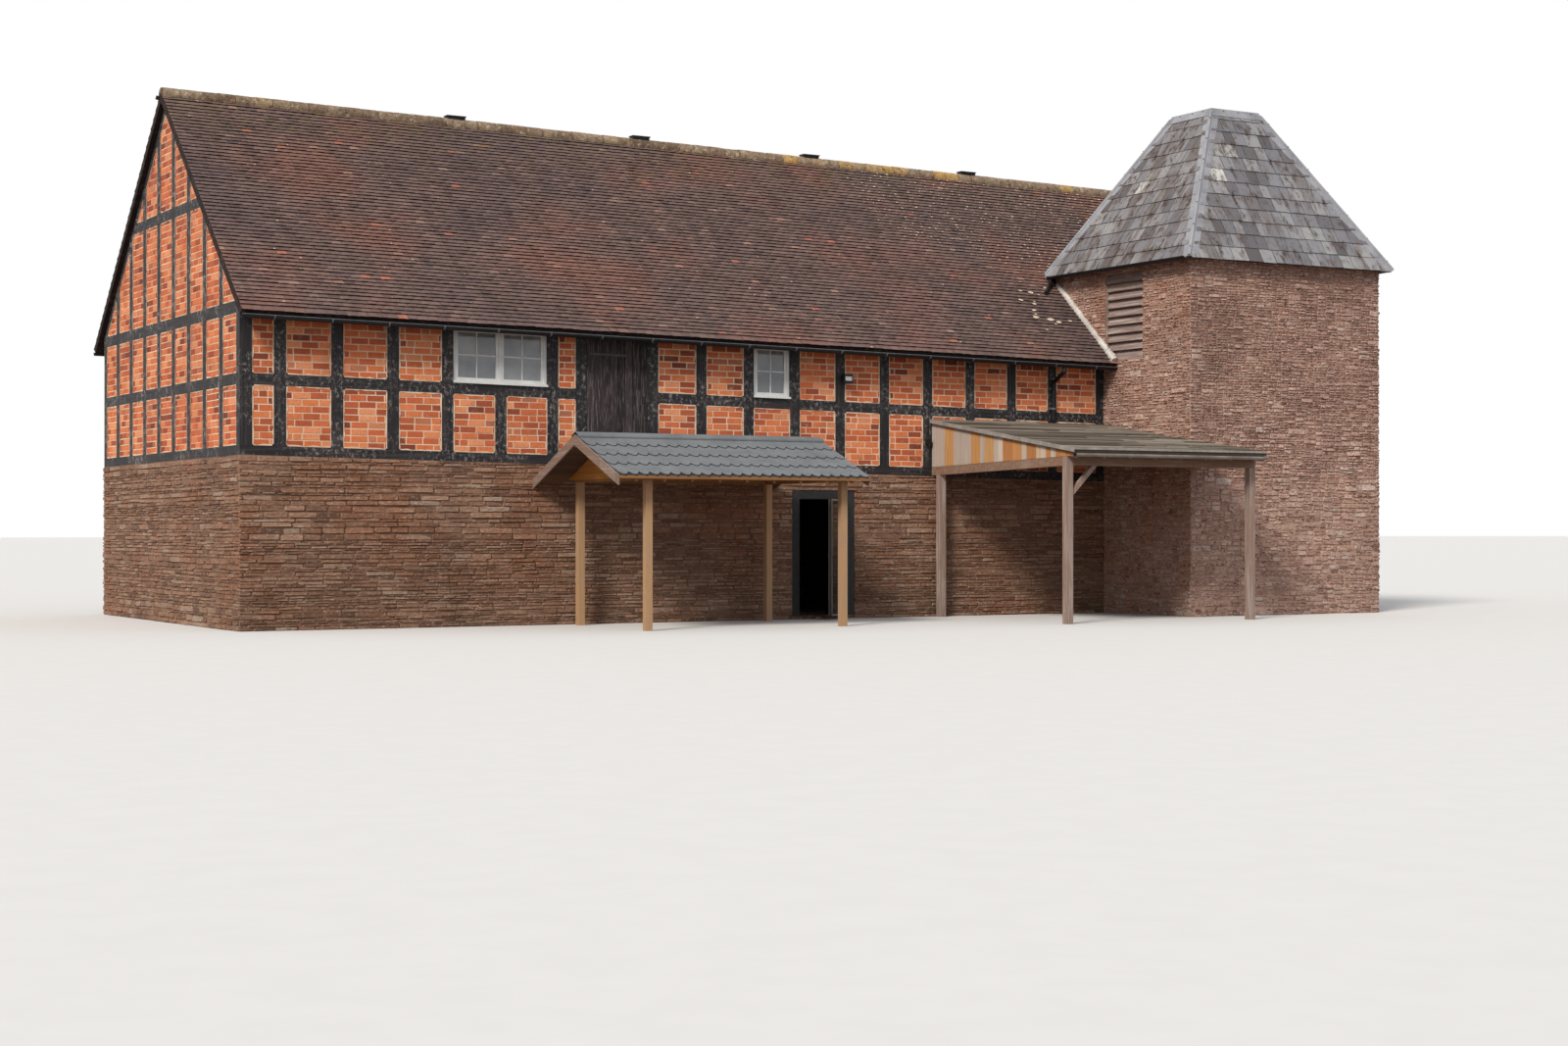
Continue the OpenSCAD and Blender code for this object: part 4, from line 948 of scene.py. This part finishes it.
def roof_tiles(shape, plane, u0, u1, front):
    for row in range(int((SLOPE_LEN - 0.05) / GAUGE) + 1):
        v = row * GAUGE - 0.012
        stop = u1 if not front or v > BEHIND + 0.05 else -0.004
        u = u0 - (TILE_W / 2 if row % 2 else 0)
        wave = uniform(0, 6.28)
        while u < stop:
            a = max(u, u0) + 0.0015
            b = min(u + TILE_W, stop) - 0.0015
            u += TILE_W
            if b - a < 0.03:
                continue
            sag = 0.006 * sin(a * 0.9 + wave) + uniform(-0.003, 0.003)
            twist = uniform(-0.002, 0.002)
            tail = v + sag - (0 if row else 0.033)
            lift = 0.024 + uniform(0, 0.008)
            side = uniform(-0.003, 0.003)
            camber = uniform(0.001, 0.006)
            tails = [(a, tail - twist, lift - side), (a + (b - a) * 0.33, tail, lift + camber),
                     (a + (b - a) * 0.67, tail, lift + camber), (b, tail + twist, lift + side)]
            top = [plane.at(*p) for p in tails]
            heads = [plane.at(p[0], v + GAUGE + 0.03, 0.004) for p in tails]
            foot = [plane.at(p[0], p[1] + 0.006, p[2] - 0.025) for p in tails]
            tone = limited(DRAWS.gauss(0.45, 0.19), 0.97)
            if chance() < 0.004:
                tone = 1.0
            strip(shape, top + heads, 4, tone)
            # The tail face, in painted shade
            strip(shape, foot + top, 4, tone, 1)
            # Near the kiln, flecks on the tile tails: lichen, and painted highlights on the tails
            near = front and a > -3.4 and v > SLOPE_LEN * (0.62 - (a + 3.4) * 0.06)
            for _ in range(2 if near else 1):
                if chance() < (0.36 if near else 0.016):
                    lichen(shape, plane, uniform(a + 0.02, b - 0.02), tail + 0.02,
                           lift + 0.004, uniform(0.5, 1) if near else 0.7)


seed(23)
shape = Shape()
roof_tiles(shape, roof_plane(1), ROOF_LEFT, ROOF_RIGHT, True)
for k in range(15):
    lichen(shape, roof_plane(1), -0.4 - uniform(0, 0.85),
           0.5 + uniform(0, 1.8), 0.036, uniform(1.6, 3))
shape.build("roof_tiles_front", "clay_tiles", "clay_tile tile_edge lichen")
shape = Shape()
roof_tiles(shape, roof_plane(-1), -ROOF_RIGHT, -ROOF_LEFT, False)
shape.build("roof_tiles_rear", "clay_tiles", "clay_tile tile_edge lichen")


# Lumps of the mortar fillet between the range's roof and the kiln

shape = Shape()
seed(29)
plane = roof_plane(1)
v = 0.02
r = 0.075
while v < BEHIND - 0.1:
    step = uniform(0.05, 0.11)
    swell = uniform(0.04, 0.062) + max(0, 0.02 - v * 0.04)
    tube(shape, plane.at(-0.045, v, 0.04), plane.at(-0.045, min(v + step, BEHIND), 0.04), r,
         swell, 9, lump=0.14)
    r = swell
    v += step
shape.build("fillet_lumps", "mortar", "pale_mortar")


# Slates and lead of the kiln's roof

KILN_TOP = box("kiln_leadwork")[1][2]
OVERHANG = 0.18
TOP_SIDE = 1.084
MID_X = KILN_X / 2
MID_Y = KILN_Y / 2
SLATE_GAUGE = 0.292
SLATE_LAP = 0.09


def kiln_side(side):
    """A slope's plane, its half widths at foot and head, and its length."""
    half, depth = (MID_X, MID_Y) if side in (0, 2) else (MID_Y, MID_X)
    foot = depth + OVERHANG
    run = foot - TOP_SIDE / 2
    rise = KILN_TOP - KILN_Z
    length = hypot(run, rise)
    c = run / length
    u = (X_AXIS, Y_AXIS, BACK_X, BACK_Y)[side]
    inward = (-u[1], u[0])
    plane = Plane((MID_X - inward[0] * foot, MID_Y - inward[1] * foot, KILN_Z), u,
                  (inward[0] * c, inward[1] * c, rise / length))
    return plane, half + OVERHANG, TOP_SIDE / 2, length


seed(31)
slates = Shape()
rolls = Shape()
nails = Shape()
for side in range(4):
    plane, low, high, length = kiln_side(side)
    lean = (low - high) / length
    norm = hypot(1, lean)
    hip = [(1 / norm, lean / norm, (low - 0.06) / norm),
           (-1 / norm, lean / norm, (low - 0.06) / norm)]
    v = -0.03
    while v < length - 0.06:
        top = min(v + SLATE_GAUGE + SLATE_LAP, length - 0.01)
        half = low - lean * max(v, 0) + 0.2
        u = -half - uniform(0, 0.2)
        while u < half:
            w = uniform(0.2, 0.36)
            tail = v + uniform(-0.006, 0.006)
            tip = uniform(-0.005, 0.005)
            part = clip([(u, tail + tip), (u + w - 0.011, tail - tip), (u + w - 0.011, top),
                         (u, top)], hip)
            u += w
            if not part or area(part) < 0.002:
                continue
            lift = 0.014 + uniform(0, 0.007)
            face, foot = (
                [plane.at(p, q, h + lift * max(0, 1 - (q - v) / (SLATE_GAUGE + SLATE_LAP)))
                 for p, q in part] for h in (0.001, -0.004))
            n = len(part)
            tone = limited(DRAWS.gauss(0.45, 0.24), 0.95)
            if chance() < 0.006:
                tone = 1.0
            # The left slope (side 3) takes the copy with painted shade
            slates.face(face, tone, 1 if side == 3 else 0)
            slates.grid(face + foot, [(i, n + i, n + (i + 1) % n, (i + 1) % n)
                                     for i in range(n)], 0.0)
        v += SLATE_GAUGE
slates.build("kiln_slates", "slates", "slate brown_slate")

for sx in (-1, 1):
    for sy in (-1, 1):
        foot, head = ((MID_X + sx * (dx + 0.008), MID_Y + sy * (dy + 0.008), z + 0.012)
                      for dx, dy, z in ((MID_X + OVERHANG, MID_Y + OVERHANG, KILN_Z),
                                        (TOP_SIDE / 2, TOP_SIDE / 2, KILN_TOP)))
        if sy > 0:
            # A rear hip starts where it comes out of the range's roof
            start = 0.0
            x, y, z = foot
            while z <= fall(x, RIDGE_TOP - abs(RIDGE_Y - y) * ROOF_TAN) + 0.02 and start <= 0.95:
                start += 0.01
                x, y, z = lerp(foot, head, start)
            foot = x, y, z
        tube(rolls, foot, lerp(foot, head, 0.975), 0.03, 0.028)
        for k in range(7):
            x, y, z = lerp(foot, head, 0.05 + k * 0.145)
            tube(nails, (x, y, z), (x + sx * 0.018, y + sy * 0.018, z + 0.023), 0.016, 0.014, 8)
for k in range(4):
    plane, low, high, length = kiln_side(k)
    for u in (-0.3, 0.05, 0.36):
        tube(nails, plane.at(u, length - 0.06, 0.024), plane.at(u, length - 0.06, 0.032), 0.014,
             0.012, 8)
rolls.build("hip_rolls", "lead", "lead")
nails.build("lead_nails", "lead", "lead_nail")


# Ridge tiles, the lumps of bedding mortar below them on both slopes, and the ridge vents

RIDGE_R = 0.13
RIDGE_SIDES = 13
VENTS = 4
VENT_START = -0.27
VENT_PITCH = 3.66
seed(41)
shape = Shape()
x = ROOF_LEFT
while x < ROOF_RIGHT - 0.02:
    w = min(uniform(0.29, 0.33), ROOF_RIGHT - x)
    lift = uniform(0.004, 0.012)
    turn = uniform(-0.004, 0.004)
    pts = []
    for a, grow in ((x + 0.004, 0.0), (x + w * 0.12, 0.004), (x + w * 0.88, 0.003),
                    (x + w - 0.004, -0.001)):
        for k in range(RIDGE_SIDES):
            t = radians(-12 + 204 * k / (RIDGE_SIDES - 1))
            r = RIDGE_R + lift + grow + uniform(-0.0015, 0.0015)
            pts.append((a, RIDGE_Y + cos(t) * r + turn,
                        fall(a, RIDGE_TOP - RIDGE_R * 0.45) + sin(t) * r))
    strip(shape, pts, RIDGE_SIDES, uniform(0.6, 1) if x > -7 else uniform(0, 0.8))
    x += w
shape.build("ridge_tile_row", "ridge_clay", "ridge_clay")

shape = Shape()
for side, u, stop in ((1, ROOF_LEFT, ROOF_RIGHT), (-1, -ROOF_RIGHT, -ROOF_LEFT)):
    while u < stop - 0.05:
        w = uniform(0.05, 0.16)
        low = SLOPE_LEN - uniform(0.15, 0.19)
        poly = [(u, low + 0.01), (u + w * 0.5, low), (u + w, low + 0.012),
                (u + w, SLOPE_LEN - 0.09), (u, SLOPE_LEN - 0.09)]
        raised(shape, roof_plane(side), poly, 0.0, uniform(0.018, 0.032), 0.012, 0.5)
        u += w + uniform(0, 0.02)
shape.build("ridge_bedding", "ridge_clay", "ridge_clay")

shape = Shape()
for i in range(VENTS):
    x = VENT_START - i * VENT_PITCH
    z = fall(x, RIDGE_TOP + RIDGE_R * 0.55)
    slab(shape, x - 0.185, x + 0.185, RIDGE_Y - 0.09, RIDGE_Y + 0.09, z + 0.042, z + 0.06)
    for k in range(4):
        slab(shape, x - 0.15 + k * 0.082, x - 0.105 + k * 0.082, RIDGE_Y - 0.081,
             RIDGE_Y + 0.081, z + 0.012, z + 0.034)
shape.build("vent_hoods", "black_plastic", "black_plastic", edge=0.004)


# Loading door of upright boards

BOARDS = 8
shape = Shape()
seed(53)
x0 = FRONT_ROW[11] + STUD_W / 2 + 0.006
x1 = FRONT_ROW[10] - STUD_W / 2 - 0.006
w = (x1 - x0) / BOARDS
for i in range(BOARDS):
    a = x0 + i * w + 0.003
    slab(shape, a, a + w - 0.006, FRONT - 0.002 - uniform(0, 0.006), FRONT + 0.012,
         SILL_TOP + 0.012, PLATE_LOW - 0.012, chance(), 0, FALL)
for z in (2.95, 4.25):
    slab(shape, x0 + 0.03, x0 + 0.72, FRONT - 0.016, FRONT - 0.006, z, z + 0.045, 0.5, 1, FALL)
slab(shape, x1 - 0.1, x1 - 0.06, FRONT - 0.02, FRONT - 0.006, 3.5, 3.62, 0.5, 1, FALL)
shape.build("loading_door_boards", "black_boards", "black_boards dark_metal", edge=0.003)


# Glazing bars of the windows, two panes wide and two high in each casement

BAR = 0.05
SASH = 0.045
GLAZING = 0.02
shape = Shape()
for row, first, last, y, lights in (
        (FRONT_ROW, 14, 12, FRONT + 0.065, 2), (FRONT_ROW, 8, 7, FRONT + 0.065, 1),
        (REAR_ROW, 18, 16, REAR - 0.065, 2), (REAR_ROW, 12, 11, REAR - 0.065, 1)):
    x0 = row[first] + STUD_W / 2
    w = (row[last] - STUD_W / 2 - x0 - (lights + 1) * BAR) / lights
    z0 = RAIL_TOP + BAR + SASH
    z1 = PLATE_LOW - BAR - SASH
    for k in range(lights):
        a = x0 + BAR + k * (w + BAR) + SASH
        b = a + w - 2 * SASH
        slab(shape, (a + b - GLAZING) / 2, (a + b + GLAZING) / 2, y - 0.014, y + 0.014, z0, z1,
             lean=FALL)
        slab(shape, a, b, y - 0.014, y + 0.014, (z0 + z1 - GLAZING) / 2, (z0 + z1 + GLAZING) / 2,
             lean=FALL)
shape.build("glazing_bars", "window_paint", "window_paint", edge=0.002)

shape = Shape()
(_, y, _), (_, _, z) = box("wall_lights")
x = stud_x(6) + 0.095
slab(shape, x - 0.065, x + 0.065, y - 0.004, y + 0.002, z - 0.115, z - 0.04)
shape.build("lamp_lens", "black_plastic", "lamp_lens", edge=0.004)


# Canopy: tile-effect sheet and its ridge cap

(CAN_LEFT, CAN_FRONT, _), (CAN_RIGHT, CAN_REAR, CAN_TOP) = box("canopy_roof")
POSTS = box("canopy_posts")
GABLES = box("canopy_gables")
CAN_MID = (POSTS[0][1] + POSTS[1][1]) / 2
CAN_ANGLE = radians(22.5)
CAN_COS = cos(CAN_ANGLE)
CAN_SIN = sin(CAN_ANGLE)
CAN_TAN = tan(CAN_ANGLE)
CAN_THICK = 0.04 / CAN_COS
CAN_PEAK = CAN_TOP - CAN_THICK
CAN_RUNS = ((-1, CAN_MID - CAN_FRONT), (1, CAN_REAR - CAN_MID))
SCALLOP = 0.178
SHEET_ROWS = 4


def canopy_point(side, x, d, h):
    """d down the slope from the ridge, h square to it."""
    return (x, CAN_MID + side * (d * CAN_COS + h * CAN_SIN),
            CAN_PEAK + CAN_THICK - d * CAN_SIN + h * CAN_COS)


def canopy_sheet(shape, side, run):
    """One slope of the sheet, in stepped rows whose tails are rounded, with painted shadow on the
    step below each tail.
    """
    columns = int((CAN_RIGHT - CAN_LEFT) / SCALLOP * 12)
    row = (run / CAN_COS - 0.09) / SHEET_ROWS
    for r in range(SHEET_ROWS):
        head = max(0.09 + row * r - 0.11, 0)
        pts = []
        for k in range(columns + 1):
            x = CAN_LEFT + (CAN_RIGHT - CAN_LEFT) * k / columns
            wave = sin(pi * ((x - CAN_LEFT) / SCALLOP % 1.0)) ** 0.7
            end = 0.09 + row * (r + 1) - 0.115 * (1 - wave)
            pts += [canopy_point(side, x, *p) for p in (
                (head, 0.002), ((head + end) / 2, 0.011), (end, 0.021), (end + 0.001, 0.018),
                (end + 0.01, 0.002))]
        strip(shape, pts, 5, step=-side, columns=range(3))
        # The step below each tail is painted shadow
        strip(shape, pts, 5, mat=1, step=-side, columns=(3,))


shape = Shape()
canopy_sheet(shape, -1, CAN_MID - CAN_FRONT + 0.012)
canopy_sheet(shape, 1, CAN_REAR - CAN_MID)
shape.build("canopy_sheet_tiles", "tile_sheet", "tile_sheet tile_sheet_step")
shape = Shape()
for side in (-1, 1):
    pts = []
    for k in range(41):
        x = CAN_LEFT - 0.01 + (CAN_RIGHT - CAN_LEFT + 0.02) * k / 40
        pts.append((x, CAN_MID, CAN_PEAK + CAN_THICK + 0.05))
        pts += [canopy_point(side, x, d, h) for d, h in ((0.05, 0.046), (0.13, 0.04),
                                                         (0.134, 0.012))]
    strip(shape, pts, 4, step=-side)
shape.build("canopy_ridge_cap", "tile_sheet", "tile_sheet", smooth=True)


# Canopy: boards of its gables, bargeboards, batten and rafters at the eave, and soffit

GABLE_FOOT = POSTS[1][2] + 0.035
seed(61)
shape = Shape()
reach = min((CAN_PEAK - GABLE_FOOT - 0.02) / CAN_TAN, CAN_MID - CAN_FRONT, CAN_REAR - CAN_MID)
norm = hypot(CAN_TAN, 1)
cuts = [(side * CAN_TAN / norm, 1 / norm, (CAN_PEAK + side * CAN_MID * CAN_TAN - 0.004) / norm)
        for side in (1, -1)]
for x, out in ((POSTS[0][0] - 0.022, -1), (POSTS[1][0] + 0.022, 1)):
    z = GABLE_FOOT
    while z < CAN_PEAK - 0.03:
        a, b = z + 0.002, z + 0.118
        part = clip([(CAN_MID - reach, a), (CAN_MID + reach, a), (CAN_MID + reach, b),
                     (CAN_MID - reach, b)], cuts)
        z += 0.12
        if part:
            raised(shape, *across(x, out, part), 0.0, 0.007, 0.003, chance())
shape.build("canopy_gable_boards", "stained_boards", "stained_boards")

shape = Shape()
high = CAN_PEAK + CAN_THICK - 0.003
for x, out in ((GABLES[0][0], -1), (GABLES[1][0], 1)):
    for side, run in CAN_RUNS:
        a = CAN_MID + side * 0.002
        b = CAN_MID + side * run
        foot = high - run * CAN_TAN
        plane, poly = across(x, out, [(a, high - 0.154), (b, foot - 0.154), (b, foot), (a, high)])
        raised(shape, plane, turned(poly), 0.0, 0.005, 0.003, 0.5)
shape.build("canopy_bargeboards", "stained_boards", "bargeboard")

shape = Shape()
z = CAN_PEAK - (CAN_MID - CAN_FRONT) * CAN_TAN
slab(shape, CAN_LEFT + 0.002, CAN_RIGHT - 0.002, CAN_FRONT - 0.008, CAN_FRONT + 0.026,
     z - 0.014, z + 0.034)
for k in range(9):
    x = CAN_LEFT + 0.3 + k * (CAN_RIGHT - CAN_LEFT - 0.6) / 8
    block(shape, [(a, b, CAN_PEAK - (CAN_MID - b) * CAN_TAN + c) for a, b, c in corners(
        x - 0.022, x + 0.022, CAN_FRONT + 0.03, POSTS[0][1] - 0.002, -0.07, 0.002)], step=-1)
shape.build("canopy_eave_battens", "pine", "pine_beam")

shape = Shape()
for side, run in CAN_RUNS:
    count = int(run / CAN_COS / 0.13)
    w = run / CAN_COS / count
    for k in range(count):
        block(shape, [canopy_point(side, *p) for p in corners(
            CAN_LEFT + 0.004, CAN_RIGHT - 0.004, k * w + 0.003, k * w + w - 0.003,
            -0.0405, -0.048)], chance(), step=-1)
shape.build("canopy_soffit_boards", "tile_sheet", "soffit_boards")


# Lean-to: side boards, roof boards, drip edge and a painted sheen on its gutter

LEAN_LEFT, LEAN_FEET, _ = box("lean_to_side_boards")[0]
(_, LEAN_FRONT, _), (_, _, LEAN_BEAM_TOP) = box("lean_to_posts")
LEAN_HIGH = 3.34
LEAN_RISE = (LEAN_HIGH - LEAN_BEAM_TOP) / (FRONT - LEAN_FRONT)
LEAN_NORM = hypot(1, LEAN_RISE)
LEAN_RAFTER = 0.095 * LEAN_NORM
LEAN_ROOF = 0.06 * LEAN_NORM
# Runs of side boards from the front to the wall: how many, and their tone
SIDE_RUNS = ((2, 0.94), (2, 0.88), (1, 0.5), (1, 0.96), (1, 0.55), (1, 0.68), (2, 0.9), (1, 0.3),
             (4, 0.9), (1, 0.62), (1, 0.35), (2, 0.7), (1, 0.3), (2, 0.78), (4, 0.25), (2, 0.74),
             (3, 0.3))


def lean_z(y, extra):
    """Height above the lean-to's beam, on its slope."""
    return LEAN_BEAM_TOP + (y - LEAN_FRONT) * LEAN_RISE + extra


def side_foot(y):
    """Foot of the side boards: on the side beam, which falls towards the wall."""
    return LEAN_BEAM_TOP - 0.09 * max(0, y - LEAN_FRONT) / (FRONT - LEAN_FRONT) + 0.005


shape = Shape()
seed(67)
w = (FRONT - 0.004 - LEAN_FEET) / sum(run[0] for run in SIDE_RUNS)
y = LEAN_FEET
for count, tone in SIDE_RUNS:
    for _ in range(count):
        a = y + 0.0015
        b = y + w - 0.0015
        plane, poly = across(LEAN_LEFT, -1, [
            (b, lean_z(b, LEAN_RAFTER - 0.003)), (a, lean_z(a, LEAN_RAFTER - 0.003)),
            (a, side_foot(a)), (b, side_foot(b))])
        raised(shape, plane, poly, 0.0, uniform(0.003, 0.006), 0.002,
               limited(tone + uniform(-0.07, 0.05)))
        y += w
shape.build("lean_to_boards", "side_boards", "side_boards")

shape = Shape()
(left, edge, _), (right, _, _) = box("lean_to_roof")
plane = Plane((0, edge, lean_z(edge, LEAN_RAFTER + LEAN_ROOF)), X_AXIS,
              (0, 1 / LEAN_NORM, LEAN_RISE / LEAN_NORM))
total = (FRONT - edge) * LEAN_NORM
v = 0.0
while v < total - 0.02:
    w = uniform(0.1, 0.16)
    u = left
    limit = right if v + w < -edge * LEAN_NORM - 0.01 else -0.002
    while u < limit - 0.02:
        length = min(uniform(0.9, 2.4), limit - u)
        if limit - u - length < 0.3:
            length = limit - u
        h = uniform(0.006, 0.022)
        a = u + 0.001
        b = u + length - 0.002
        top = min(v + w, total)
        poly = [(a, v + uniform(0, 0.02)), (b, v + uniform(0, 0.02)), (b, top), (a, top)]
        raised(shape, plane, poly, 0.0, h, 0.008, chance())
        u += length
    v += w
shape.build("lean_to_roof_boards", "roof_felt", "roof_felt")

shape = Shape()
z = lean_z(edge, LEAN_RAFTER + LEAN_ROOF)
slab(shape, left, right, edge - 0.012, edge + 0.03, z - 0.012, z + 0.026)
verge = [(edge, lean_z(edge, LEAN_RAFTER + 0.008)),
         (edge, lean_z(edge, LEAN_RAFTER + LEAN_ROOF + 0.014)),
         (FRONT - 0.01, lean_z(FRONT, LEAN_RAFTER + LEAN_ROOF + 0.012)),
         (FRONT - 0.01, lean_z(FRONT, LEAN_RAFTER + 0.008))]
block(shape, [(x, *p) for x in (left - 0.004, left + 0.02) for p in verge], step=-1)
# A pale shell over the front of the gutter: painted sheen
y = LEAN_FEET - 0.0503
z = lean_z(LEAN_FEET, LEAN_RAFTER) - 0.02
pts = [(x, y + cos(t) * r, z + sin(t) * r)
       for t in (pi * (0.98 + 0.09 * k) for k in range(7))
       for x in (left, right) for r in (0.0505, 0.0525)]
faces = [(0, 2, 3, 1), (24, 25, 27, 26), (0, 1, 5, 4), (2, 6, 7, 3)]
for b in range(0, 24, 4):
    faces += [(b + 1, b + 3, b + 7, b + 5), (b, b + 4, b + 6, b + 2)]
shape.grid(pts, faces)
shape.build("lean_to_drip_edge_and_sheen", "roof_felt", "drip_edge_and_sheen")


# Door leaf: its glazing beads, closing edge, lock plates and lever

HINGE_X = -5.614
HINGE_Y = 2.476
OPEN_COS = cos(radians(43))
OPEN_SIN = sin(radians(43))
LEAF_W = 0.944
LEAF_LOW = 0.072
LEAF_HIGH = 2.068


def door_point(along, out, z):
    """A point on the open leaf: along it from the hinge, out of its outer face."""
    return (HINGE_X - along * OPEN_COS - out * OPEN_SIN,
            HINGE_Y - along * OPEN_SIN + out * OPEN_COS, z)


def leaf_bar(shape, *sides, mat=0):
    block(shape, [door_point(*p) for p in corners(*sides)], mat=mat, step=-1)


shape = Shape()
for o0, o1 in ((0.006, 0.0135), (0.0595, 0.067)):
    for a0, a1 in ((0.006, 0.03), (LEAF_W - 0.016, LEAF_W - 0.002)):
        leaf_bar(shape, a0, a1, o0, o1, LEAF_LOW, LEAF_HIGH)
    for z in (LEAF_LOW, LEAF_HIGH - 0.026):
        leaf_bar(shape, 0.03, LEAF_W - 0.016, o0, o1, z, z + 0.026)
leaf_bar(shape, LEAF_W - 0.002, LEAF_W + 0.002, 0.0165, 0.0565, LEAF_LOW - 0.001,
         LEAF_HIGH + 0.001)
for o0, o1, inner, o in ((-0.002, 0.013, 0.012, -0.03), (0.06, 0.075, 0.061, 0.103)):
    leaf_bar(shape, LEAF_W - 0.06, LEAF_W - 0.02, o0, o1, 0.98, 1.16, mat=1)
    tube(shape, door_point(LEAF_W - 0.04, inner, 1.09), door_point(LEAF_W - 0.04, o, 1.09),
         0.009, 0.009, mat=1)
    tube(shape, door_point(LEAF_W - 0.032, o, 1.09), door_point(LEAF_W - 0.16, o, 1.085),
         0.009, 0.007, mat=1)
shape.build("door_leaf_trim", "door_metal", "door_metal dark_metal", "door", edge=0.0015)


# Gutter brackets, the downpipe's clips, painted sheen along the gutters' lips and the kiln
# gutter's shoe

GUTTER_Y = (EAVES_Y - 0.0003, 2 * RIDGE_Y - EAVES_Y + 0.0003)
GUTTER_Z = RIDGE_TOP - (RIDGE_Y - EAVES_Y) * ROOF_TAN - 0.045 / ROOF_COS - 0.02
PIPE_Y = FRONT - 0.0459
SHOE_X = -0.235
SHOE_Y = KILN_Y - 0.13


def bracket(shape, x, y):
    pts = []
    for k in range(9):
        t = pi * (1 + k / 8)
        for a, r in ((x - 0.011, 0.059), (x - 0.011, 0.064), (x + 0.011, 0.064),
                     (x + 0.011, 0.059)):
            pts.append((a, y + cos(t) * r, fall(a, GUTTER_Z) + sin(t) * r))
    strip(shape, pts, 4, step=-1)


shape = Shape()
for count, x, y in ((18, -0.5, GUTTER_Y[0]), (23, RIGHT - 0.3, GUTTER_Y[1])):
    for k in range(count):
        bracket(shape, x - k * STUD_PITCH, y)
x = stud_x(1)
for z in (3.75, 4.3):
    tube(shape, (x, PIPE_Y, z), (x, PIPE_Y, z + 0.03), 0.0445, 0.0445, 20)
    slab(shape, x - 0.06, x + 0.06, PIPE_Y + 0.034, PIPE_Y + 0.044, z, z + 0.03)
shape.build("gutter_brackets", "black_plastic", "gutter_bracket")

shape = Shape()
# Pale grey tubes along the gutters' front lips: a painted sheen
for x, y in ((-0.003, GUTTER_Y[0] - 0.057), (ROOF_RIGHT, GUTTER_Y[1] + 0.057)):
    tube(shape, (ROOF_LEFT, y, fall(ROOF_LEFT, GUTTER_Z)), (x, y, fall(x, GUTTER_Z)), 0.006,
         0.006, 6)
shape.build("gutter_lip_sheen", "black_plastic", "gutter_bracket")

shape = Shape()
top = (SHOE_X, SHOE_Y, over_tiles(SHOE_X, SHOE_Y) + 0.075)
end = (SHOE_X - 0.285, SHOE_Y - 0.23, over_tiles(SHOE_X - 0.285, SHOE_Y - 0.23) + 0.05)
tube(shape, top, end, 0.034, 0.034, 20)
tube(shape, lerp(top, end, 0.02), lerp(top, end, 0.2), 0.04, 0.04, 20)
shape.build("kiln_gutter_shoe", "black_plastic", "black_plastic")


# Camera, light and ground

def stage_scene():
    ground = bpy.data.meshes.new("ground")
    ground.from_pydata([(-400, -400, 0), (400, -400, 0), (400, 400, 0), (-400, 400, 0)], [],
                       [(0, 1, 2, 3)])
    m = Material("ground", 0.95, 0.1, (132, 118, 108))
    path = m.node("ShaderNodeLightPath").outputs
    seen = m.calc("MAXIMUM", path["Is Camera Ray"], path["Is Glossy Ray"])
    seen = m.calc("MAXIMUM", seen, path["Is Transmission Ray"])
    m.lay(m.mix((214, 210, 204), (222, 218, 212), m.noise(3, 5)), seen)
    m.done()
    ground.materials.append(MAT["ground"])
    add("ground", ground)

    world = bpy.data.worlds.new("sky")
    bpy.context.scene.world = world
    m = Tree(world)
    path = m.node("ShaderNodeLightPath").outputs
    through = m.calc("MAXIMUM", path["Is Glossy Ray"], path["Is Transmission Ray"])
    seen = m.calc("MAXIMUM", path["Is Camera Ray"], through)
    soft = m.node("ShaderNodeBackground", {0: (226, 232, 242), 1: 0.8})
    white = m.node("ShaderNodeBackground", {0: (255, 255, 255)})
    mix = m.node("ShaderNodeMixShader", {0: seen, 1: soft.outputs[0], 2: white.outputs[0]})
    m.node("ShaderNodeOutputWorld", {0: mix.outputs[0]})

    sun = bpy.data.lights.new("sun", "SUN")
    sun.energy = 2.9
    sun.angle = radians(15)
    sun.color = (1.0, 0.97, 0.92)
    add("sun", sun).rotation_euler = (radians(51), 0, radians(-56))

    camera = bpy.data.cameras.new("camera")
    camera.lens = 54
    camera.sensor_width = 36
    camera.clip_end = 500
    eye = add("camera", camera)
    eye.location = (ORIGIN[0] - 27.0074, ORIGIN[1] - 32.5509, 1.5594)
    eye.rotation_euler = (pi / 2 + 0.0025, 0, -0.5214)
    bpy.context.scene.camera = eye
    bpy.context.scene.view_settings.view_transform = "Standard"


stage_scene()
